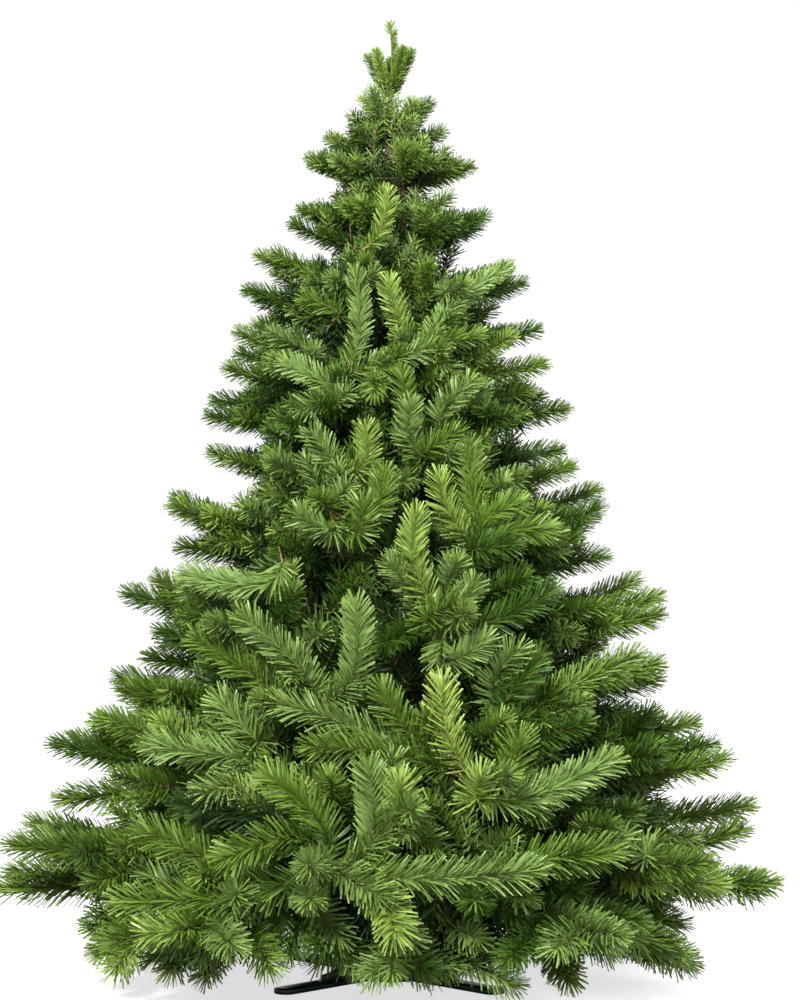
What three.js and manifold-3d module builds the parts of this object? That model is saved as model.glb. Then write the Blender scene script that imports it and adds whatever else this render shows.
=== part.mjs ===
// A cut Christmas tree, set in a plain steel stand. Millimetres, +Z up.
// The origin is the centre of the stand's flat underside, so the floor is z = 0.
// The trunk runs from its flat cut to the foot of the leader. Tiers of limbs ring it. The limbs of a
// tier are shared out among a few masses of foliage, and each mass is one solid on one stem.
import * as THREE from "three";
import { mergeVertices } from "three/addons/utils/BufferGeometryUtils.js";
import Module from "manifold-3d";

const wasm = await Module();
wasm.setup();

// ---------------------------------------------------------------- driving dimensions
const GAP = 0.3; // between pieces that touch

const TRUNK_FOOT_Z = 8.3; // the flat cut, just over the stand's base plate
const TRUNK_TIP_Z = 1462; // where the leader takes over
const TRUNK_FOOT_R = 33;
const TRUNK_TIP_R = 5;
const TRUNK_SWAY = 7; // how far the trunk's axis wanders sideways
const TRUNK_STEPS = 7;
const TRUNK_SIDES = 14;

// Each tier of limbs, from the lowest: where they leave the trunk, how far their tips reach from its
// axis, how high the tips are, and the limbs' slope at the tip. fan is how strongly the side shoots
// lift off the limb's own plane, masses how many solids share the tier's limbs, shoots how many side
// shoots a limb bears, and turn where the first limb points, in degrees from +X.
const TIERS = [
  { name: "tier01", z: 214, reach: 540, tip: 78, slope: -0.3, fan: 0, masses: 6, shoots: 2, turn: 30 },
  { name: "tier02", z: 268, reach: 664, tip: 158, slope: 0.05, fan: 0.7, masses: 3, shoots: 3, turn: 0 },
  { name: "tier03", z: 350, reach: 652, tip: 254, slope: 0.22, fan: 1, masses: 3, shoots: 3, turn: 18 },
  { name: "tier04", z: 450, reach: 580, tip: 390, slope: 0.34, fan: 1, masses: 3, shoots: 3, turn: 46 },
  { name: "tier05", z: 552, reach: 474, tip: 496, slope: 0.36, fan: 1, masses: 3, shoots: 2, turn: 8 },
  { name: "tier06", z: 656, reach: 476, tip: 628, slope: 0.34, fan: 1, masses: 3, shoots: 2, turn: 50 },
  { name: "tier07", z: 752, reach: 382, tip: 802, slope: 0.42, fan: 1, masses: 3, shoots: 2, turn: 12 },
  { name: "tier08", z: 848, reach: 320, tip: 868, slope: 0.4, fan: 1, masses: 3, shoots: 2, turn: 54 },
  { name: "tier09", z: 940, reach: 318, tip: 950, slope: 0.25, fan: 1, masses: 3, shoots: 2, turn: 10 },
  { name: "tier10", z: 1034, reach: 276, tip: 1030, slope: 0.3, fan: 1, masses: 3, shoots: 2, turn: 48 },
  { name: "tier11", z: 1126, reach: 234, tip: 1150, slope: 0.45, fan: 1, masses: 3, shoots: 2, turn: 0 },
  { name: "tier12", z: 1212, reach: 178, tip: 1268, slope: 0.6, fan: 1, masses: 3, shoots: 1, turn: 14 },
  { name: "tier13", z: 1300, reach: 150, tip: 1362, slope: 0.4, fan: 1, masses: 2, shoots: 1, turn: 50 },
  { name: "tier14", z: 1384, reach: 72, tip: 1468, slope: 1.5, fan: 1, masses: 2, shoots: 0, turn: 4 },
];
const LIMBS = 6; // in a tier
const TURN_SPREAD = 5; // degrees by which a limb strays from its even place round the trunk
const TIP_PARTING = 10; // neighbouring tips are this much above and below the tier's tip height
const TIP_SPREAD = 8; // and stray by this much more
const REACH_SPREAD = 0.02;
const LIMB_R_PER_REACH = 0.0125; // a limb's thickness at the trunk grows with its reach
const LIMB_TIP_R = 2;
const FORK_RUN = 26; // a mass's stem runs this far out of the trunk before it forks into limbs
const FORK_BEND = 6; // how quickly a limb leaves that fork for its own line
const LONG_REACH = 400; // limbs that reach further than this have one whorl of needles more

const BOUGHED_TIER = "tier01"; // its limbs start as bare boughs
const BOUGH_SHARE = 0.36; // how much of such a limb is bare
const BOUGH_STOUTNESS = 1.25;

// The side shoots of one limb: where they leave it, how far they swing aside and lift, in degrees, and
// their length as a share of the limb's.
const SIDE_SHOOTS = [
  { at: 0.44, swing: 34, lift: 20, share: 0.5 },
  { at: 0.5, swing: -36, lift: -8, share: 0.46 },
  { at: 0.56, swing: 6, lift: 42, share: 0.34 },
];
const UPRIGHT_SIDE_SHOOTS = [
  { at: 0.4, swing: 24, lift: 34, share: 0.52 },
  { at: 0.48, swing: -30, lift: 4, share: 0.46 },
];
const UPRIGHT_ABOVE_Z = 1000; // tiers above this bear the upright kind
const SHOOT_SPREAD = 6; // degrees by which a side shoot strays
const SHOOT_WHORLS = 2;

const NEEDLES = {
  reachTop: 28, // from a shoot's axis to its needle tips, near the top of the tree
  reachFoot: 64, // and on the lowest tiers
  footZ: 150,
  fade: 0.85, // how the reach falls between the two
  core: 0.22, // a shoot's core at its tip, as a share of the reach
  slant: 0.72, // how far a tooth leans forward, as a share of the reach
  inner: 0.8, // needles near a shoot's foot are this share of the full length
  limbBare: 0.24, // the share of a limb, and of a side shoot, that has no needles
  shootBare: 0.26,
  pointAt: 0.93, // a core narrows to a point beyond this share of its length
  crowding: 1.3, // above 1, whorls stand closer together towards the tip
};
const SHOOT_CLEAR = 2; // shoots of different masses keep at least this far apart
// How a side shoot is shortened, and its needles drawn in, to keep clear, by turns.
const SQUEEZED = [[1, 1], [1, 0.75], [0.8, 0.8], [0.8, 0.55], [0.6, 0.6], [0.6, 0.4]];
const NARROWER = [1, 0.82, 0.66, 0.5, 0.36]; // and how a limb's needles are drawn in
const SLIVER = 0.3; // detail finer than this is smoothed out of a joined mass

const LEADER = { tipZ: 1602, bare: 0.3, whorls: 3, shoots: 5, rise: 80, spread: 42, turn: 18, brush: 0.85 };

const STAND = {
  plateR: 75,
  plateThick: 8,
  armWide: 40,
  armReach: 255,
  armTurn: 45, // degrees from +X to the first arm
  boreR: 35,
  socketR: 38.5,
  socketTopZ: 150,
  rimR: 42,
  rimTall: 10,
  gussetRun: 120,
  gussetTall: 96,
  gussetThick: 6,
  screwTurns: [90, 210, 330],
  screwZ: 126,
  screwR: 5,
  screwOut: 92,
  bossR: 10,
  bossOut: 12,
  handleHalf: 24,
  handleR: 4,
};

// ---------------------------------------------------------------- materials
const paint = (colour, roughness, metalness) =>
  new THREE.MeshStandardMaterial({ color: new THREE.Color(...colour), roughness, metalness });

const MATERIALS = {
  bark: paint([0.11, 0.075, 0.05], 0.9, 0),
  needles: paint([0.09, 0.17, 0.035], 0.55, 0),
  youngNeedles: paint([0.17, 0.28, 0.06], 0.5, 0),
  enamel: paint([0.03, 0.09, 0.05], 0.4, 0.2),
  steel: paint([0.55, 0.56, 0.57], 0.35, 0.9),
};

// ---------------------------------------------------------------- small helpers
const UP = new THREE.Vector3(0, 0, 1);
const radians = (degrees) => (degrees * Math.PI) / 180;
const mix = (a, b, t) => a + (b - a) * t;

// A number from 0 to 1 that depends only on what it is given, so every run grows the same tree.
function chance(a, b, c) {
  const s = Math.sin(a * 127.1 + b * 311.7 + c * 74.7 + 17.3) * 43758.5453;
  return s - Math.floor(s);
}
const around = (middle, spread, a, b, c) => middle + spread * (2 * chance(a, b, c) - 1);

// Where a line heads at a share of its length. A line is a function from a share to a point.
function headingAt(line, share) {
  const STEP = 0.02;
  const ahead = line(Math.min(1, share + STEP));
  return ahead.sub(line(Math.max(0, share - STEP))).normalize();
}

const straightLine = (root, direction, length) => (share) =>
  root.clone().addScaledVector(direction, length * share);

// ---------------------------------------------------------------- solids
// A closed three.js geometry as a solid that can be joined and cut.
function solid(geometry) {
  const bare = new THREE.BufferGeometry();
  bare.setAttribute("position", geometry.getAttribute("position"));
  if (geometry.index) bare.setIndex(geometry.index);
  const merged = mergeVertices(bare, 1e-3);
  return new wasm.Manifold(
    new wasm.Mesh({
      numProp: 3,
      vertProperties: merged.attributes.position.array,
      triVerts: new Uint32Array(merged.index.array),
    }),
  );
}

function geometryOf(made) {
  const mesh = made.getMesh();
  const geometry = new THREE.BufferGeometry();
  geometry.setAttribute("position", new THREE.BufferAttribute(mesh.vertProperties, 3));
  geometry.setIndex(new THREE.BufferAttribute(mesh.triVerts, 1));
  geometry.computeVertexNormals();
  return geometry;
}

// The largest body of a solid, without the loose scraps that a cut can leave.
const largest = (made) =>
  made.decompose().reduce((best, body) => (body.volume() > best.volume() ? body : best));

// A bare limb: a cylinder whose rings are moved onto a line of points.
function limbSolid(points, radiusAt, sides) {
  const steps = points.length - 1;
  const frames = points.map((point, i) => {
    const along = points[Math.min(i + 1, steps)].clone().sub(points[Math.max(i - 1, 0)]).normalize();
    const level = Math.abs(along.z) > 0.9 ? new THREE.Vector3(0, 1, 0) : UP;
    const side = new THREE.Vector3().crossVectors(level, along).normalize();
    return { point, side, over: new THREE.Vector3().crossVectors(along, side) };
  });
  const geometry = new THREE.CylinderGeometry(1, 1, 1, sides, steps);
  const position = geometry.getAttribute("position");
  for (let i = 0; i < position.count; i++) {
    const share = position.getY(i) + 0.5;
    const { point, side, over } = frames[Math.round(share * steps)];
    const moved = point.clone();
    moved.addScaledVector(side, -position.getX(i) * radiusAt(share));
    moved.addScaledVector(over, position.getZ(i) * radiusAt(share));
    position.setXYZ(i, moved.x, moved.y, moved.z);
  }
  return solid(geometry);
}

// A shoot with its needles: a slim three-sided core along a line, bare at first, then with a whorl of
// three teeth at each step. A tooth stands for a cluster of needles and slants towards the tip. The
// core twists by half a side at each step, so a whorl's teeth stand between the last one's.
function shootSolid({ line, over, rootR, tipR, reach, bare, whorls }) {
  const shares = [0, bare];
  for (let i = 1; i <= whorls; i++) {
    const crowded = 1 - Math.pow(1 - i / whorls, NEEDLES.crowding);
    shares.push(mix(bare, NEEDLES.pointAt, crowded));
  }
  const corners = [];
  // A corner at a share of the line, at an angle round it that grows by 60 degrees with each step.
  const addCorner = (share, step, k, radius, ahead) => {
    const along = headingAt(line, share);
    const side = new THREE.Vector3().crossVectors(along, over).normalize();
    const face = new THREE.Vector3().crossVectors(side, along);
    const angle = radians(k * 120 + step * 60);
    const corner = line(share).addScaledVector(along, ahead);
    corner.addScaledVector(side, radius * Math.cos(angle)).addScaledVector(face, radius * Math.sin(angle));
    return corners.push(corner) - 1;
  };
  shares.forEach((share, step) => {
    for (let k = 0; k < 3; k++) addCorner(share, step, k, mix(rootR, tipR, share), 0);
  });
  const tip = corners.push(line(1)) - 1;
  const triangles = [0, 1, 2]; // the root's end, which faces back
  for (let step = 0; step <= whorls; step++) {
    const share = mix(shares[step], shares[step + 1], 0.6);
    const width = reach * Math.min(1, mix(NEEDLES.inner, 1, 1.3 * shares[step]));
    for (let k = 0; k < 3; k++) {
      const here = step * 3 + k;
      const next = step * 3 + ((k + 1) % 3);
      const side = [next, here, here + 3, next + 3];
      if (step === 0) {
        triangles.push(side[0], side[1], side[2], side[0], side[2], side[3]);
      } else {
        const tooth = addCorner(share, step + 0.5, k + 0.5, width, reach * NEEDLES.slant);
        side.forEach((corner, i) => triangles.push(corner, side[(i + 1) % 4], tooth));
      }
    }
  }
  const end = (whorls + 1) * 3;
  for (let k = 0; k < 3; k++) triangles.push(end + ((k + 1) % 3), end + k, tip);
  const geometry = new THREE.BufferGeometry();
  const numbers = corners.flatMap((corner) => corner.toArray());
  geometry.setAttribute("position", new THREE.Float32BufferAttribute(numbers, 3));
  geometry.setIndex(triangles);
  return solid(geometry);
}

// ---------------------------------------------------------------- the trunk
const overSocket = (z) => Math.max(0, z - STAND.socketTopZ) / (TRUNK_TIP_Z - STAND.socketTopZ);
const trunkRadius = (z) => mix(TRUNK_FOOT_R, TRUNK_TIP_R, overSocket(z));

// The trunk's axis is upright in the socket, then wanders a little as it climbs.
function trunkAxis(z) {
  const turn = Math.PI * overSocket(z);
  return new THREE.Vector3(-TRUNK_SWAY * Math.sin(turn), TRUNK_SWAY * Math.sin(2 * turn), z);
}

function trunkSolid(extra) {
  const heights = [TRUNK_FOOT_Z];
  for (let i = 0; i <= TRUNK_STEPS; i++)
    heights.push(mix(STAND.socketTopZ, TRUNK_TIP_Z, i / TRUNK_STEPS));
  const radiusAt = (share) => trunkRadius(heights[Math.round(share * (TRUNK_STEPS + 1))]) + extra;
  return limbSolid(heights.map(trunkAxis), radiusAt, TRUNK_SIDES);
}

// ---------------------------------------------------------------- the growth rule
function needleReach(z) {
  const height = Math.max(0, z - NEEDLES.footZ) / (LEADER.tipZ - NEEDLES.footZ);
  return mix(NEEDLES.reachFoot, NEEDLES.reachTop, Math.pow(height, NEEDLES.fade));
}

// The line of one limb, from the trunk's axis to its tip. Limbs sag, and turn up or down at the end.
function limbLine(tier, limb) {
  const turn = radians(tier.turn + (360 / LIMBS) * limb + around(0, TURN_SPREAD, tier.z, limb, 1));
  const reach = tier.reach * around(0.99, REACH_SPREAD, tier.z, limb, 2);
  const parting = limb % 2 ? -TIP_PARTING : TIP_PARTING;
  const tipZ = tier.tip + parting + around(0, TIP_SPREAD, tier.z, limb, 3);
  const sag = ((tier.slope - (tipZ - tier.z) / reach) * reach) / 4;
  const foot = trunkAxis(tier.z);
  return (share) =>
    new THREE.Vector3(
      foot.x * (1 - share) + Math.cos(turn) * reach * share,
      foot.y * (1 - share) + Math.sin(turn) * reach * share,
      mix(tier.z, tipZ, share) - 4 * sag * share * (1 - share),
    );
}

function limbRadius(tier, share) {
  return mix(tier.reach * LIMB_R_PER_REACH + 2, LIMB_TIP_R, share);
}

// A side shoot's root, direction and length. The side that the first one takes changes from limb to limb.
function sideShoot(tier, limb, line, number) {
  const kinds = tier.z > UPRIGHT_ABOVE_Z ? UPRIGHT_SIDE_SHOOTS : SIDE_SHOOTS;
  const { at, swing, lift, share } = kinds[number];
  const forward = headingAt(line, at);
  const flat = new THREE.Vector3(-forward.y, forward.x, 0).normalize();
  const over = new THREE.Vector3().crossVectors(forward, flat).normalize();
  const aside = radians((limb % 2 ? -swing : swing) + around(0, SHOOT_SPREAD, tier.z, limb, 10 + number));
  const up = radians(lift * tier.fan + around(0, SHOOT_SPREAD, tier.z, limb, 20 + number));
  const direction = forward.clone().multiplyScalar(Math.cos(aside) * Math.cos(up));
  direction.addScaledVector(flat, Math.sin(aside) * Math.cos(up)).addScaledVector(over, Math.sin(up));
  return { root: line(at), direction, over, length: line(0).distanceTo(line(1)) * share };
}

// ---------------------------------------------------------------- keeping clear
const nodes = []; // { name, made, material }
const standing = []; // what later shoots keep clear of: { owner, made }

function keep(name, made, material) {
  nodes.push({ name, made, material });
  standing.push({ owner: name, made });
}

const boxesMeet = (a, b) =>
  [0, 1, 2].every((k) => a.min[k] - SHOOT_CLEAR <= b.max[k] && b.min[k] - SHOOT_CLEAR <= a.max[k]);

// True where a solid keeps clear of everything that isn't its owners' own.
function isClear(candidate, owners) {
  const box = candidate.boundingBox();
  return standing.every(
    ({ owner, made }) =>
      owners.includes(owner) ||
      !boxesMeet(box, made.boundingBox()) ||
      candidate.minGap(made, SHOOT_CLEAR) >= SHOOT_CLEAR,
  );
}

// Of several ways to make a shoot, the first that is clear becomes part of the mass.
function addFirstClear(mass, owners, makes) {
  for (const make of makes) {
    const made = make();
    if (isClear(made, owners)) {
      mass.parts.push(made);
      standing.push({ owner: mass.name, made });
      return;
    }
  }
}

// ---------------------------------------------------------------- boughs and masses
const boughName = (tier, limb) => `bough_${tier.name}_${limb + 1}`;

function growBough(tier, limb, trunkRoom) {
  const line = limbLine(tier, limb);
  const points = [0, 0.4, 0.7, 1].map((share) => line(BOUGH_SHARE * share));
  points[3].addScaledVector(headingAt(line, BOUGH_SHARE), -GAP);
  const radiusAt = (share) => limbRadius(tier, share * BOUGH_SHARE) * BOUGH_STOUTNESS;
  return largest(limbSolid(points, radiusAt, 6).subtract(trunkRoom));
}

// A mass before its side shoots: the stem that forks off the trunk, and its limbs. A boughed mass has
// no stem, because each of its limbs takes over from a bough.
function startMass(tier, index) {
  const perMass = LIMBS / tier.masses;
  const boughed = tier.name === BOUGHED_TIER;
  const mass = { name: `foliage_${tier.name}_${index + 1}`, tier, boughed, parts: [] };
  mass.limbs = Array.from({ length: perMass }, (_, i) => index * perMass + i);
  mass.lines = mass.limbs.map((limb) => limbLine(tier, limb));
  const start = boughed ? BOUGH_SHARE : (trunkRadius(tier.z) + FORK_RUN) / tier.reach;
  const fork = new THREE.Vector3();
  for (const line of mass.lines) fork.addScaledVector(line(start), 1 / perMass);
  if (!boughed) mass.parts.push(limbSolid([trunkAxis(tier.z), fork], () => limbRadius(tier, 0) * 1.1, 4));
  const owners = [mass.name, ...mass.limbs.map((limb) => boughName(tier, limb))];
  for (const line of mass.lines) {
    const fromFork = (share) => line(mix(start, 1, share)).lerp(fork, Math.pow(1 - share, FORK_BEND));
    const reach = needleReach(line(1).z);
    const makes = NARROWER.map((narrowed) => () =>
      shootSolid({
        line: fromFork,
        over: UP,
        rootR: limbRadius(tier, start),
        tipR: reach * NEEDLES.core,
        reach: reach * narrowed,
        bare: NEEDLES.limbBare,
        whorls: tier.reach > LONG_REACH ? 4 : 3,
      }),
    );
    addFirstClear(mass, owners, makes);
  }
  return mass;
}

// The side shoot with this number, on each limb of a mass.
function addSideShoots(mass, number) {
  mass.lines.forEach((line, i) => {
    if (number >= mass.tier.shoots) return;
    const { root, direction, over, length } = sideShoot(mass.tier, mass.limbs[i], line, number);
    const reach = needleReach(line(1).z);
    const makes = SQUEEZED.map(([shortened, narrowed]) => () =>
      shootSolid({
        line: straightLine(root, direction, length * shortened),
        over,
        rootR: limbRadius(mass.tier, 0.7),
        tipR: reach * NEEDLES.core,
        reach: reach * narrowed,
        bare: NEEDLES.shootBare,
        whorls: SHOOT_WHORLS,
      }),
    );
    addFirstClear(mass, [mass.name], makes);
  });
}

function joinMass(mass, trunkRoom) {
  const made = wasm.Manifold.union(mass.parts);
  return largest((mass.boughed ? made : made.subtract(trunkRoom)).simplify(SLIVER));
}

// The leader on the trunk's end, with a ring of upright shoots round its foot.
function growLeader() {
  const foot = trunkAxis(TRUNK_TIP_Z).setZ(TRUNK_TIP_Z + GAP);
  const common = { tipR: NEEDLES.reachTop * NEEDLES.core, bare: LEADER.bare };
  const parts = [
    shootSolid({
      ...common,
      line: straightLine(foot, UP, LEADER.tipZ - foot.z),
      over: new THREE.Vector3(0, -1, 0),
      rootR: TRUNK_TIP_R,
      reach: NEEDLES.reachTop,
      whorls: LEADER.whorls,
    }),
  ];
  for (let i = 0; i < LEADER.shoots; i++) {
    const turn = radians((360 / LEADER.shoots) * i + LEADER.turn);
    const out = new THREE.Vector3(Math.cos(turn), Math.sin(turn), 0);
    const way = out.clone().multiplyScalar(LEADER.spread).setZ(LEADER.rise * around(0.93, 0.1, 99, i, 1));
    parts.push(
      shootSolid({
        ...common,
        line: straightLine(foot.clone().setZ(foot.z + 6), way, 1),
        over: out,
        rootR: TRUNK_TIP_R - 1,
        reach: NEEDLES.reachTop * LEADER.brush,
        whorls: SHOOT_WHORLS,
      }),
    );
  }
  return largest(wasm.Manifold.union(parts).simplify(SLIVER));
}

// ---------------------------------------------------------------- the stand
// Two flat bars with round ends, crossed under a round plate, as one welded piece.
function standCross() {
  const half = STAND.armWide / 2;
  const far = STAND.armReach - half;
  const outline = new THREE.Shape();
  outline.absarc(far, 0, half, -Math.PI / 2, Math.PI / 2, false);
  outline.absarc(-far, 0, half, Math.PI / 2, (3 * Math.PI) / 2, false);
  const options = { depth: STAND.plateThick, bevelEnabled: false, curveSegments: 3 };
  const bar = solid(new THREE.ExtrudeGeometry(outline, options));
  const disc = new THREE.CylinderGeometry(STAND.plateR, STAND.plateR, STAND.plateThick, 24);
  disc.rotateX(Math.PI / 2).translate(0, 0, STAND.plateThick / 2);
  const cross = bar.add(bar.rotate([0, 0, 90])).add(solid(disc));
  return cross.rotate([0, 0, STAND.armTurn]);
}

// A round rod that lies outwards from the trunk at the screws' height.
function radialRod(radius, from, to, turn, sides) {
  const rod = new THREE.CylinderGeometry(radius, radius, to - from, sides);
  rod.rotateZ(-Math.PI / 2).translate((from + to) / 2, 0, STAND.screwZ);
  return solid(rod).rotate([0, 0, turn]);
}

// The tube that holds the trunk, with a rolled rim and a drilled boss for each screw.
function standSocket() {
  const base = STAND.plateThick + GAP;
  const rimZ = STAND.socketTopZ - STAND.rimTall;
  const profile = [
    new THREE.Vector2(STAND.boreR, base),
    new THREE.Vector2(STAND.socketR, base),
    new THREE.Vector2(STAND.socketR, rimZ),
    new THREE.Vector2(STAND.rimR, rimZ),
    new THREE.Vector2(STAND.rimR, STAND.socketTopZ),
    new THREE.Vector2(STAND.boreR, STAND.socketTopZ),
    new THREE.Vector2(STAND.boreR, base),
  ];
  let socket = solid(new THREE.LatheGeometry(profile, 24).rotateX(Math.PI / 2));
  const bossEnd = STAND.socketR + STAND.bossOut;
  const INTO_WALL = 1.5;
  for (const turn of STAND.screwTurns) {
    socket = socket.add(radialRod(STAND.bossR, STAND.boreR + INTO_WALL, bossEnd, turn, 10));
    socket = socket.subtract(radialRod(STAND.screwR + GAP, STAND.boreR - 5, bossEnd + 5, turn, 8));
  }
  return socket;
}

// A web plate between the socket and one arm, its long edge curved.
function standGusset(turn) {
  const inner = STAND.socketR + GAP;
  const base = STAND.plateThick + GAP;
  const TOE = 10;
  const HEAD = 12;
  const outline = new THREE.Shape();
  outline.moveTo(inner, base);
  outline.lineTo(inner + STAND.gussetRun, base);
  outline.lineTo(inner + STAND.gussetRun, base + TOE);
  outline.quadraticCurveTo(inner + 2 * HEAD, base + 2 * TOE, inner + HEAD, STAND.gussetTall);
  outline.lineTo(inner, STAND.gussetTall);
  const options = { depth: STAND.gussetThick, bevelEnabled: false, curveSegments: 4 };
  const web = new THREE.ExtrudeGeometry(outline, options);
  web.rotateX(Math.PI / 2).translate(0, STAND.gussetThick / 2, 0);
  return solid(web).rotate([0, 0, turn]);
}

// A screw whose tip bears on the trunk, with a bar handle across its outer end.
function standScrew(turn) {
  const screw = radialRod(STAND.screwR, TRUNK_FOOT_R + GAP, STAND.screwOut, turn, 8);
  const handle = new THREE.CylinderGeometry(STAND.handleR, STAND.handleR, 2 * STAND.handleHalf, 8);
  handle.rotateX(Math.PI / 2).translate(STAND.screwOut - STAND.handleR, 0, STAND.screwZ);
  return screw.add(solid(handle).rotate([0, 0, turn]));
}

// ---------------------------------------------------------------- putting it together
keep("stand_cross", standCross(), MATERIALS.enamel);
keep("stand_socket", standSocket(), MATERIALS.enamel);
for (let i = 0; i < 4; i++)
  keep(`stand_gusset_${i + 1}`, standGusset(STAND.armTurn + 90 * i), MATERIALS.enamel);
STAND.screwTurns.forEach((turn, i) => keep(`stand_screw_${i + 1}`, standScrew(turn), MATERIALS.steel));

keep("trunk", trunkSolid(0), MATERIALS.bark);
const trunkRoom = trunkSolid(GAP); // the space that masses and boughs are cut clear of
const boughedTier = TIERS.find((tier) => tier.name === BOUGHED_TIER);
for (let limb = 0; limb < LIMBS; limb++)
  keep(boughName(boughedTier, limb), growBough(boughedTier, limb, trunkRoom), MATERIALS.bark);
keep("foliage_leader", growLeader(), MATERIALS.youngNeedles);

// All the limbs come first, and then the side shoots in rounds, so that no mass crowds out another.
const masses = TIERS.flatMap((tier) =>
  Array.from({ length: tier.masses }, (_, index) => startMass(tier, index)),
);
for (let number = 0; number < SIDE_SHOOTS.length; number++)
  for (const mass of masses) addSideShoots(mass, number);
for (const mass of masses)
  nodes.push({ name: mass.name, made: joinMass(mass, trunkRoom), material: MATERIALS.needles });

const tree = new THREE.Group();
for (const { name, made, material } of nodes) {
  const mesh = new THREE.Mesh(geometryOf(made), material);
  mesh.name = name;
  tree.add(mesh);
}

export default tree;
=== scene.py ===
# %% [markdown]
# # A cut Christmas tree in a plain steel stand
# The finished model is one trunk, six limbs at each of fourteen heights with weaker ones between them,
# shoots on every limb, and a brush of needles on every shoot. A plain stand of enamelled steel holds the
# trunk upright.
# The imported frame gives each part's place. It is loaded first.

# %% Load the frame
import math

import bmesh
import bpy
import numpy as np
from mathutils import Matrix, Vector, noise


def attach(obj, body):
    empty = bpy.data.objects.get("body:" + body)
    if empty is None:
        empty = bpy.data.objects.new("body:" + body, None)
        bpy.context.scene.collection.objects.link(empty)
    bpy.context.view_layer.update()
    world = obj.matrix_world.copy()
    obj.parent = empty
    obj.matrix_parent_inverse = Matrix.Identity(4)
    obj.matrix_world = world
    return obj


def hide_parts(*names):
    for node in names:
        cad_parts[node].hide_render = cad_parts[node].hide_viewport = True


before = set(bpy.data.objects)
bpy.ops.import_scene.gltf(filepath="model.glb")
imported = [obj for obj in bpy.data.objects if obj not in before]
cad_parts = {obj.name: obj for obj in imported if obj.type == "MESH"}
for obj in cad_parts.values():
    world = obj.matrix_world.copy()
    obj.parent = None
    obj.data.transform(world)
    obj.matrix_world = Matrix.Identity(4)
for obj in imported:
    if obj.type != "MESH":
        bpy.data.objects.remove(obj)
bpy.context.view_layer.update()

MM = 0.001

# %% [markdown]
# ## The camera
# A tall tree is best seen level, from about half its height, so that its sides don't converge.
# The lens follows from how many millimetres one pixel of an 800 by 1000 picture should cover in the
# trunk's plane. The sensor's 36 mm lie along the picture's long side.

# %% Camera
DISTANCE = 4.5
EYE_HEIGHT = 0.795
EYE_ASIDE = 0.017
MM_PER_PIXEL = 1.675
PICTURE_TALL = 1000

camera_data = bpy.data.cameras.new("camera")
camera_data.sensor_width = 36
camera_data.lens = 36 * DISTANCE / (MM_PER_PIXEL * MM * PICTURE_TALL)
camera = bpy.data.objects.new("camera", camera_data)
camera.location = (EYE_ASIDE, -DISTANCE, EYE_HEIGHT)
camera.rotation_euler = (math.radians(90), 0, 0)
bpy.context.scene.collection.objects.link(camera)
bpy.context.scene.camera = camera
print("lens:", round(camera_data.lens, 1), "mm")

# %% [markdown]
# ## Floor and light
# The tree stands on a wide, pale floor under an even white sky, as in a studio lined with paper.
# A large soft lamp in front, above the camera's left, gives the needles a bright side, and a weaker
# one on the right opens the shadows. Large lamps are used because small ones would draw hard shadows
# of thousands of needles.

# %% Small helpers for colour and placing
def from_screen(red, green, blue):
    """A colour as it reads on a screen, from 0 to 255, as the linear light that shaders work in."""
    def to_linear(v):
        v /= 255
        return v / 12.92 if v <= 0.04045 else ((v + 0.055) / 1.055) ** 2.4
    return (to_linear(red), to_linear(green), to_linear(blue), 1)


def add_object(name, mesh):
    thing = bpy.data.objects.new(name, mesh)
    bpy.context.scene.collection.objects.link(thing)
    return thing


# %% Floor
# It glows a little, to the camera alone, so that it is as white as the sky but throws little light up.
FLOOR_GLOW = 0.7
floor_mesh = bmesh.new()
bmesh.ops.create_circle(floor_mesh, cap_ends=True, radius=400, segments=64)
bmesh.ops.translate(floor_mesh, verts=floor_mesh.verts, vec=(0, 0, -0.0004))
floor_data = bpy.data.meshes.new("floor")
floor_mesh.to_mesh(floor_data)
floor_mesh.free()
floor = add_object("floor", floor_data)
paper = bpy.data.materials.new("pale_floor")
paper.use_nodes = True
paper_shader = paper.node_tree.nodes["Principled BSDF"]
for socket, value in (("Base Color", (0.55, 0.55, 0.545, 1)), ("Emission Color", (1, 1, 1, 1)),
                      ("Roughness", 0.9), ("Specular IOR Level", 0.1)):
    paper_shader.inputs[socket].default_value = value
seen = paper.node_tree.nodes.new("ShaderNodeLightPath")
glow = paper.node_tree.nodes.new("ShaderNodeMath")
glow.operation = "MULTIPLY"
glow.inputs[1].default_value = FLOOR_GLOW
paper.node_tree.links.new(seen.outputs["Is Camera Ray"], glow.inputs[0])
paper.node_tree.links.new(glow.outputs[0], paper_shader.inputs["Emission Strength"])
floor_data.materials.append(paper)
print("floor:", floor.name)

# %% Sky and lamps
SKY_SEEN, SKY_LIGHT = 1.06, 0.54  # the white behind the tree, and what lights it
LAMPS_AIM = Vector((0, 0, 0.75))
#        name   place             size watts
LAMPS = [("key", (-1.6, -5.0, 3.6), 1.2, 780), ("fill", (3.4, -3.6, 2.2), 2.4, 150),
         ("back", (1.5, 4.4, 3.4), 2.4, 160)]
world = bpy.data.worlds.new("studio")
bpy.context.scene.world = world
world.use_nodes = True
sky = world.node_tree
sky.nodes["Background"].inputs["Color"].default_value = (1, 1, 1, 1)
who_looks = sky.nodes.new("ShaderNodeLightPath")
strength = sky.nodes.new("ShaderNodeMapRange")
strength.inputs["To Min"].default_value = SKY_LIGHT
strength.inputs["To Max"].default_value = SKY_SEEN
sky.links.new(who_looks.outputs["Is Camera Ray"], strength.inputs["Value"])
sky.links.new(strength.outputs["Result"], sky.nodes["Background"].inputs["Strength"])
bpy.context.scene.view_settings.view_transform = "Standard"


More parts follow.
